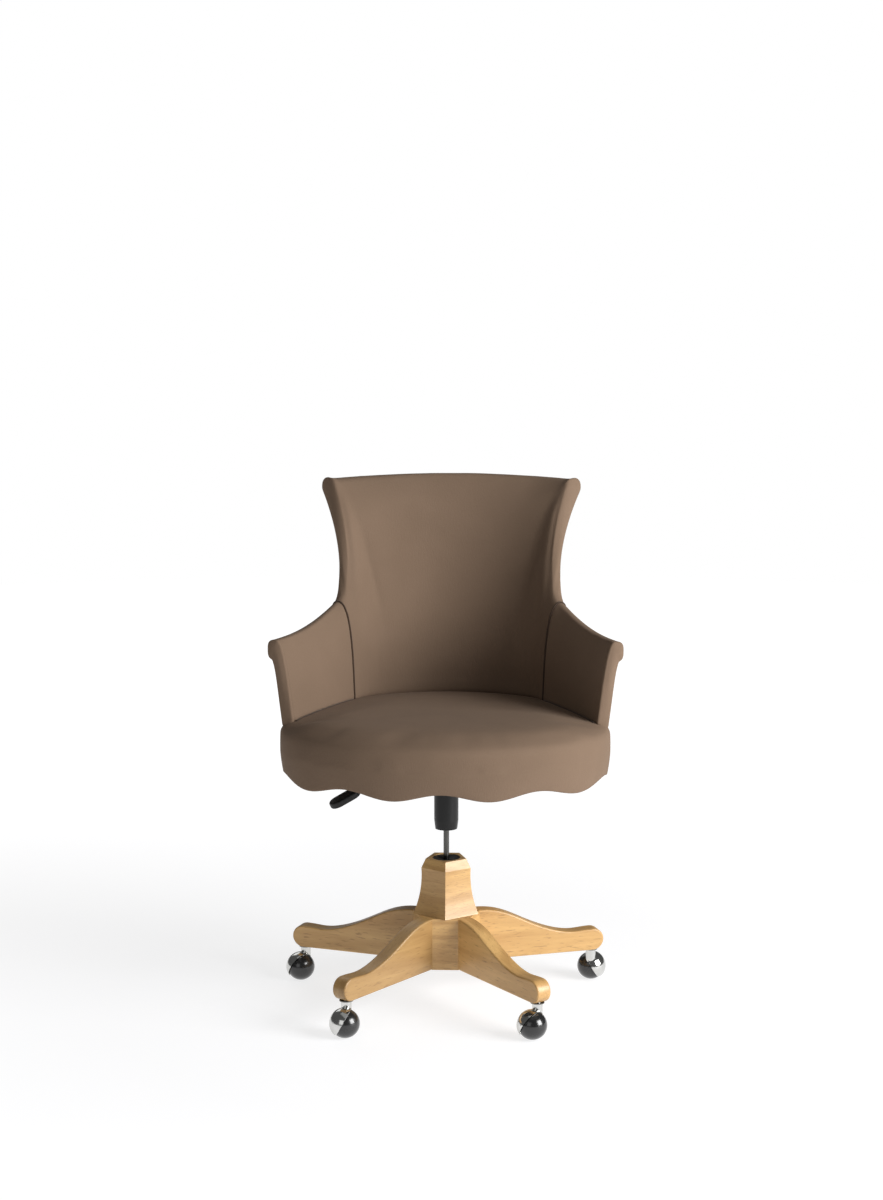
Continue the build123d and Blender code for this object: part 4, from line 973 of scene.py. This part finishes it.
class DESKCHAIR_OT_seat_cover(bpy.types.Operator):
    """Sew and stuff the seat's cover, crowned on top and scalloped at its hem."""

    bl_idname = "desk_chair.seat_cover"
    bl_label = "Seat cover"

    RING_POINTS = 240
    CROWN_RINGS = 20
    CROWN_TURN = 76
    SIDE_RINGS = 9
    SIDE_END = 0.004
    HEM_TURN = ((0.0004, 0.0016), (0.002, 0.0))
    HEM_RETURN = 0.003
    BOARD_GAP = 0.0003
    BOARD_NEAR = 0.001
    FREE_SHARE = 0.75
    FREE_FADE = 0.02
    FOOT_STEPS = 160
    FOOT_SHARE = 0.75
    LAST_ROUNDS = 14

    def execute(self, context):
        seat = context.scene.chair_seat
        piece = mesh_piece("seat_cover", *self.cover(seat))
        held = self.held_points(context.scene.chair_tub, seat, piece)
        swell(piece, held, seat.swell, rounds=self.LAST_ROUNDS)
        subdivide(piece)
        dress(piece, cloth_finish("seat_cloth", context.scene.chair_colours), "upholstery",
              "seat_cushion", "seat_apron")
        return {"FINISHED"}

    def cover(self, seat):
        """Points and faces of the whole cover, from its crown over the side and hem to its underside."""
        count = self.RING_POINTS
        waves = [math.cos(2 * math.pi * seat.scallops * index / count) for index in range(count)]
        hem = [seat.hem + seat.scallop_depth * (1 + wave) / 2 for wave in waves]
        rings = []
        for step in range(self.CROWN_RINGS):
            turn = math.radians(lerp(self.CROWN_TURN, 0, step / (self.CROWN_RINGS - 1)))
            inset = seat.crown_reach * (1 - math.cos(turn) ** 0.5)
            rings.append([(inset, crown_height(seat, inset))] * count)
        for step in range(1, self.SIDE_RINGS + 1):
            share = step / self.SIDE_RINGS
            tuck = seat.hem_tuck * share ** 2
            rings.append([(tuck, lerp(seat.edge, low + self.SIDE_END, share)) for low in hem])
        flat = seat.border - seat.hem_tuck - self.HEM_TURN[-1][0]
        for inset, rise in (*self.HEM_TURN, (flat, 0.0)):
            rings.append([(seat.hem_tuck + inset, low + rise) for low in hem])
        rings.append([(seat.border, low + self.HEM_RETURN) for low in hem])
        inside = lerp(seat.hem + seat.scallop_depth, BOARD_LOW.z, 0.5)
        roof = BOARD_HIGH.z + self.BOARD_GAP
        rings += [[(seat.border, height)] * count for height in (inside, BOARD_LOW.z, roof)]
        points = []
        angles = egg_angles(seat, count)
        for ring in rings:
            for angle, (inset, height) in zip(angles, ring):
                points.append(Vector((*egg_point(seat, angle, inset), height)))
        faces = ring_faces(len(rings), count)
        add_patch(points, faces, 0, count, lambda x, y: crown_at(seat, x, y))
        add_patch(points, faces, (len(rings) - 1) * count, count, lambda x, y: roof)
        return points, faces

    def held_points(self, tub, seat, piece):
        """Points that the hem, the board and the foot of the tub hold in place."""
        end = seam_run(tub) + tub.arm_run
        tree = kdtree.KDTree(self.FOOT_STEPS + 1)
        for step in range(self.FOOT_STEPS + 1):
            tree.insert(tub_place(tub, lerp(-end, end, step / self.FOOT_STEPS), tub.wall / 2, 0), step)
        tree.balance()
        held = {}
        free_height = lerp(seat.hem, seat.edge, self.FREE_SHARE)
        for vertex in piece.data.vertices:
            place = vertex.co
            if place.z < free_height or place.z < BOARD_HIGH.z + self.BOARD_NEAR:
                fade = (free_height - place.z) / self.FREE_FADE
                held[vertex.index] = min(1.0, fade) if place.z > BOARD_HIGH.z else 1.0
            elif tree.find((place.x, place.y, 0))[2] < self.FOOT_SHARE * tub.wall:
                held[vertex.index] = 1.0
        return {index: weight for index, weight in held.items() if weight > 0}


class DESKCHAIR_OT_back_cover(bpy.types.Operator):
    """Sew and stuff the rolled back."""

    bl_idname = "desk_chair.back_cover"
    bl_label = "Back cover"

    def execute(self, context):
        tub = context.scene.chair_tub
        end = seam_run(tub)
        piece = wall_pad("back_cover", tub, context.scene.chair_seat, -end, end)
        dress(piece, cloth_finish("back_cloth", context.scene.chair_colours), "upholstery", "back_pad")
        return {"FINISHED"}


class DESKCHAIR_OT_arm_covers(bpy.types.Operator):
    """Sew and stuff both arms and their front facings."""

    bl_idname = "desk_chair.arm_covers"
    bl_label = "Arm covers"

    FACING_SHARES = (0.04, 0.2, 0.45, 0.62, 0.78, 0.92, 1.0)
    FACING_ROUND = 0.6
    FACING_BULGE = 0.0022

    def execute(self, context):
        tub = context.scene.chair_tub
        seat = context.scene.chair_seat
        start = seam_run(tub)
        end = start + tub.arm_run
        cloth = cloth_finish("arm_cloth", context.scene.chair_colours)
        facing_cloth = cloth_finish("facing_cloth", context.scene.chair_colours)
        for name, side in SIDES:
            piece = wall_pad(f"arm_cover_{name}", tub, seat, *sorted((side * start, side * end)))
            dress(piece, cloth, "upholstery", f"arm_pad_{name}")
        for name, side in SIDES:
            piece = self.facing(f"arm_front_{name}", tub, seat, side, end)
            dress(piece, facing_cloth, "upholstery", f"arm_facing_{name}")
        return {"FINISHED"}

    def facing(self, name, tub, seat, side, end):
        """Padded panel that closes the front of an arm."""
        profile = wall_profile(tub, seat, end)
        rings = []
        for share in self.FACING_SHARES:
            depth = sewn_depth(tub.facing * (1 - share), self.FACING_ROUND * tub.facing)
            rings.append(profile_line(tub, side * (end + tub.facing * share), drawn_in(profile, depth)))
        heading = tub_line(tub, side * end)[2]
        forward = Vector((math.cos(heading), -math.sin(heading), 0)) * side
        piece = pad_mesh(name, rings, self.FACING_BULGE * forward)
        subdivide(piece)
        return piece


class DESKCHAIR_OT_seam_cords(bpy.types.Operator):
    """Lay the dark cords in the seams between the back and the arms, and on along the arms' feet, where the
    cord is partly a seam and partly painted shade for the crease between arm and seat.
    """

    bl_idname = "desk_chair.seam_cords"
    bl_label = "Seam cords"

    SINK_SHARE = 0.3
    FOOT_STEPS = 24

    def execute(self, context):
        tub = context.scene.chair_tub
        seat = context.scene.chair_seat
        radius = context.scene.chair_trim.welt_radius
        tree = cord_tree()
        material = welt_finish(context.scene.chair_colours)
        for name, side in SIDES:
            run = side * seam_run(tub)
            profile = drawn_in(wall_profile(tub, seat, run), self.SINK_SHARE * radius)
            places = profile_line(tub, run, reversed(profile))
            # Along the arm's foot the dark cord is partly a seam and partly painted shade for the shadow
            # line where the arm meets the seat.
            for step in range(1, self.FOOT_STEPS + 1):
                place = tub_place(tub, run + side * tub.arm_run * step / self.FOOT_STEPS, 0, 0)
                place.z = crown_at(seat, place.x, place.y)
                places.append(place)
            path = path_object(f"seam_{name}", places)
            piece = tree.make(f"seam_cord_{name}", path, Radius=radius, Material=material)
            dress(piece, material, "upholstery")
        return {"FINISHED"}


class DESKCHAIR_OT_stitches(bpy.types.Operator):
    """Stitch the edges of the arm facings."""

    bl_idname = "desk_chair.stitches"
    bl_label = "Facing stitches"

    SINK_SHARE = 0.35

    def execute(self, context):
        tub = context.scene.chair_tub
        trim = context.scene.chair_trim
        tree = stitch_tree()
        material = welt_finish(context.scene.chair_colours)
        run = seam_run(tub) + tub.arm_run
        profile = wall_profile(tub, context.scene.chair_seat, run)
        profile = drawn_in(profile, self.SINK_SHARE * tub.edge_round)
        for name, side in SIDES:
            path = path_object(f"edge_{name}", profile_line(tub, side * run, profile))
            piece = tree.make(
                f"facing_stitches_{name}", path, Spacing=trim.stitch_spacing, Radius=trim.stitch_radius,
                Length=trim.stitch_length, Material=material)
            dress(piece, material, "upholstery")
        return {"FINISHED"}


class DESKCHAIR_OT_dust_cover(bpy.types.Operator):
    """Stretch the dust cover under the seat and staple its edge."""

    bl_idname = "desk_chair.dust_cover"
    bl_label = "Dust cover"

    RING_POINTS = 160
    ROWS = 12
    PLATE_MARGIN = 0.002
    CLOTH_THICKNESS = 0.0006
    STAPLE_DROP = 2.2
    LEAST_WAY = 1e-6

    def execute(self, context):
        seat = context.scene.chair_seat
        trim = context.scene.chair_trim
        angles = egg_angles(seat, self.RING_POINTS)
        points = []
        for row in range(self.ROWS + 1):
            share = row / self.ROWS
            for angle in angles:
                outer = Vector(egg_point(seat, angle, trim.dust_inset))
                place = lerp(outer, self.opening_point(outer), share)
                drop = trim.dust_sag * math.sin(math.pi * share)
                points.append(Vector((place.x, place.y, DUST_HIGH.z - self.CLOTH_THICKNESS - drop)))
        piece = mesh_piece("dust_sheet", points, ring_faces(self.ROWS + 1, self.RING_POINTS))
        thick = piece.modifiers.new("Thickness", "SOLIDIFY")
        thick.thickness = self.CLOTH_THICKNESS
        thick.offset = 0
        dress(piece, dust_cloth_finish(context.scene.chair_colours), "dust_cloth", "dust_cover")
        self.staple(context, angles)
        return {"FINISHED"}

    def opening_point(self, outer):
        """Point on the opening for the seat plate, in the direction of an outer point."""
        half = Vector(((PLATE_HIGH.x - PLATE_LOW.x) / 2, (PLATE_HIGH.y - PLATE_LOW.y) / 2))
        half += Vector((self.PLATE_MARGIN, self.PLATE_MARGIN))
        middle = Vector(((PLATE_HIGH.x + PLATE_LOW.x) / 2, (PLATE_HIGH.y + PLATE_LOW.y) / 2))
        way = (outer - middle).normalized()
        reach = min(half[axis] / abs(way[axis]) for axis in (0, 1) if abs(way[axis]) > self.LEAST_WAY)
        return middle + way * reach

    def staple(self, context, angles):
        """Set a row of wire staples along the edge of the dust cover."""
        seat = context.scene.chair_seat
        trim = context.scene.chair_trim
        inset = trim.dust_inset + trim.staple_inset
        height = DUST_HIGH.z - self.STAPLE_DROP * self.CLOTH_THICKNESS - trim.staple_radius
        places = [Vector((*egg_point(seat, angle, inset), height)) for angle in angles]
        steel = context.scene.chair_colours.bright_steel
        material = metal_finish("staple_wire", steel, roughness=0.3, stretch=(1, 1, 1))
        piece = stitch_tree().make(
            "dust_staples", path_object("staple_line", places, True), Spacing=trim.staple_spacing,
            Radius=trim.staple_radius, Length=trim.staple_length, Material=material)
        dress(piece, material, "bright_steel")


class DESKCHAIR_OT_base_finish(bpy.types.Operator):
    """Give the oak base, the column, the plate and the casters their finishes."""

    bl_idname = "desk_chair.base_finish"
    bl_label = "Base and column finishes"

    # Painted light and shade: each leg's oak is made lighter or darker by how the key light on the right
    # falls on it. The front left leg is darkest and the right and front right legs are lightest.
    LEG_LIGHT_AND_SHADE_TONES = (1.08, 1.0, 0.95, 0.72, 1.1)
    LEG_SHIFT = (0.7, 0.13, 0.05)

    def execute(self, context):
        colours = context.scene.chair_colours
        hub = oak_finish("oak_hub", colours, turn=0.0, shift=(0.31, 0.07, 0.0), stretch=(2, 2, 26))
        paint(hub, "hub")
        for leg, tone in enumerate(self.LEG_LIGHT_AND_SHADE_TONES):
            turn = FIRST_LEG_ANGLE + leg * 2 * math.pi / LEG_COUNT
            shift = [part * leg for part in self.LEG_SHIFT]
            paint(oak_finish(f"oak_leg_{leg + 1}", colours, turn, shift, tone), f"leg_{leg + 1}")
        paint(oak_finish("oak_dowel", colours, turn=0.0, shift=(0, 0, 0)), "leg_dowels")
        paint(plywood_finish(colours), "seat_board", "back_core", "arm_core_right", "arm_core_left")
        paint(painted_finish("black_steel", colours.black_steel, roughness=0.42, peel=260),
              "seat_plate", "lever_rod", "stand_tube")
        sleeve = painted_finish(
            "sleeve_plastic", colours.black_plastic, roughness=0.34, peel=90, Specular_IOR_Level=0.3)
        paint(sleeve, "column_sleeve")
        paddle = painted_finish(
            "paddle_plastic", colours.black_plastic, roughness=0.46, peel=520, Specular_IOR_Level=0.35)
        paint(paddle, "lever_paddle", "guide_bush", "bearing_cage")
        paint(metal_finish("rod_steel", colours.rod_steel, roughness=0.22, stretch=(1, 1, 14)), "piston_rod")
        paint(metal_finish("bright_steel", colours.bright_steel, roughness=0.24, stretch=(1, 1, 14)),
              "piston", "gas_cylinder", "valve_pin", "rod_clip", "upper_race", "lower_race",
              "bearing_balls", "leg_bolts", "plate_bolts", "tee_nuts", "lever_pin", "shell_screws",
              "caster_sockets")
        hood = metal_finish("caster_metal", colours.caster_metal, roughness=0.10, stretch=(6, 6, 6))
        tread = painted_finish(
            "caster_tread", colours.caster_tread, roughness=0.20, peel=140,
            Coat_Weight=0.5, Coat_Roughness=0.08)
        for caster in range(1, LEG_COUNT + 1):
            paint(hood, f"caster_hood_{caster}", f"caster_stem_{caster}", f"caster_axle_{caster}")
            paint(tread, f"caster_wheel_{caster}")
        return {"FINISHED"}


class DESKCHAIR_OT_stage(bpy.types.Operator):
    """Set the pale floor, the backdrop, the soft lights and the camera."""

    bl_idname = "desk_chair.stage"
    bl_label = "Studio stage"

    FLOOR_REACH = 6.0
    FLOOR_CORNERS = 96
    BACKDROP_REACH = 30.0
    BACKDROP_SEGMENTS = 48
    LIGHTS = (
        ("key", (3.55, -1.8, 1.8), 2.4),
        ("fill", (-1.6, -3.4, 1.5), 2.0),
        ("top", (0.2, -0.3, 3.4), 3.2),
        ("back", (-1.6, 3.2, 2.4), 2.0),
    )

    def execute(self, context):
        stage = context.scene.chair_stage
        self.floor(context)
        self.backdrop()
        self.surroundings(context, stage)
        aim = Vector((0, 0, stage.look_height))
        for name, place, size in self.LIGHTS:
            self.light(f"{name}_light", place, aim, size, getattr(stage, f"{name}_power"))
        self.camera(context, stage, aim)
        context.scene.view_settings.view_transform = "Standard"
        return {"FINISHED"}

    def floor(self, context):
        """Large round floor under the casters."""
        turns = [2 * math.pi * corner / self.FLOOR_CORNERS for corner in range(self.FLOOR_CORNERS)]
        reach = self.FLOOR_REACH
        corners = [(reach * math.cos(turn), reach * math.sin(turn), 0) for turn in turns]
        ground = mesh_piece("studio_floor", corners, [tuple(range(self.FLOOR_CORNERS))])
        ground.data.materials.append(floor_finish(context.scene.chair_colours))

    def backdrop(self):
        """White dome behind everything, which is seen but casts no light."""
        shape = bmesh.new()
        bmesh.ops.create_uvsphere(
            shape, u_segments=self.BACKDROP_SEGMENTS, v_segments=self.BACKDROP_SEGMENTS // 2,
            radius=self.BACKDROP_REACH)
        mesh = bpy.data.meshes.new("studio_backdrop")
        shape.to_mesh(mesh)
        shape.free()
        mesh.materials.append(backdrop_finish())
        dome = linked("studio_backdrop", mesh)
        dome.visible_diffuse = False
        dome.visible_glossy = False
        dome.visible_transmission = False
        dome.visible_shadow = False

    def surroundings(self, context, stage):
        """Even light from all round."""
        world = bpy.data.worlds.new("studio_surroundings")
        world.use_nodes = True
        shade = world.node_tree.nodes["Background"]
        shade.inputs["Color"].default_value = WHITE
        shade.inputs["Strength"].default_value = stage.sky
        context.scene.world = world

    def face(self, thing, place, aim):
        """Put a light or camera at a place, facing a point."""
        thing.location = place
        thing.rotation_euler = (aim - thing.location).to_track_quat("-Z", "Y").to_euler()

    def light(self, name, place, aim, size, power):
        """Square soft light that faces a point."""
        lamp = bpy.data.lights.new(name, "AREA")
        lamp.size = size
        lamp.energy = power
        holder = linked(name, lamp)
        holder.visible_camera = False
        self.face(holder, place, aim)

    def camera(self, context, stage, aim):
        """Camera at the photograph's distance, height and angle."""
        lens = bpy.data.cameras.new("studio_camera")
        lens.lens = stage.lens
        lens.shift_x = stage.shift_x
        lens.shift_y = stage.shift_y
        camera = linked("studio_camera", lens)
        turn = stage.camera_azimuth
        distance = stage.camera_distance
        self.face(camera, (distance * math.sin(turn), -distance * math.cos(turn), stage.camera_height), aim)
        context.scene.camera = camera


class DESKCHAIR_PT_panel(bpy.types.Panel):
    """Lists the chair's pieces and sizes."""

    bl_idname = "DESKCHAIR_PT_panel"
    bl_label = "Desk chair"
    bl_space_type = "VIEW_3D"
    bl_region_type = "UI"
    bl_category = "Desk chair"

    def draw(self, context):
        for operator in OPERATORS:
            self.layout.operator(operator.bl_idname)
        for name, group in SETTINGS.items():
            box = self.layout.box()
            for field in group.__annotations__:
                box.prop(getattr(context.scene, name), field)


SETTINGS = {
    "chair_seat": SeatSizes,
    "chair_tub": TubSizes,
    "chair_trim": TrimSizes,
    "chair_colours": FinishColours,
    "chair_stage": StageSettings,
}
OPERATORS = (
    DESKCHAIR_OT_seat_cover,
    DESKCHAIR_OT_back_cover,
    DESKCHAIR_OT_arm_covers,
    DESKCHAIR_OT_seam_cords,
    DESKCHAIR_OT_stitches,
    DESKCHAIR_OT_dust_cover,
    DESKCHAIR_OT_base_finish,
    DESKCHAIR_OT_stage,
)


def register():
    """Register the settings, the operators and the panel."""
    for name, group in SETTINGS.items():
        bpy.utils.register_class(group)
        setattr(bpy.types.Scene, name, PointerProperty(type=group))
    for operator in OPERATORS:
        bpy.utils.register_class(operator)
    bpy.utils.register_class(DESKCHAIR_PT_panel)


def unregister():
    """Take back what register did."""
    bpy.utils.unregister_class(DESKCHAIR_PT_panel)
    for operator in reversed(OPERATORS):
        bpy.utils.unregister_class(operator)
    for name, group in reversed(list(SETTINGS.items())):
        delattr(bpy.types.Scene, name)
        bpy.utils.unregister_class(group)


def main():
    """Make every piece in order."""
    register()
    bpy.ops.desk_chair.seat_cover()
    bpy.ops.desk_chair.back_cover()
    bpy.ops.desk_chair.arm_covers()
    bpy.ops.desk_chair.seam_cords()
    bpy.ops.desk_chair.stitches()
    bpy.ops.desk_chair.dust_cover()
    bpy.ops.desk_chair.base_finish()
    bpy.ops.desk_chair.stage()


if __name__ == "__main__":
    main()
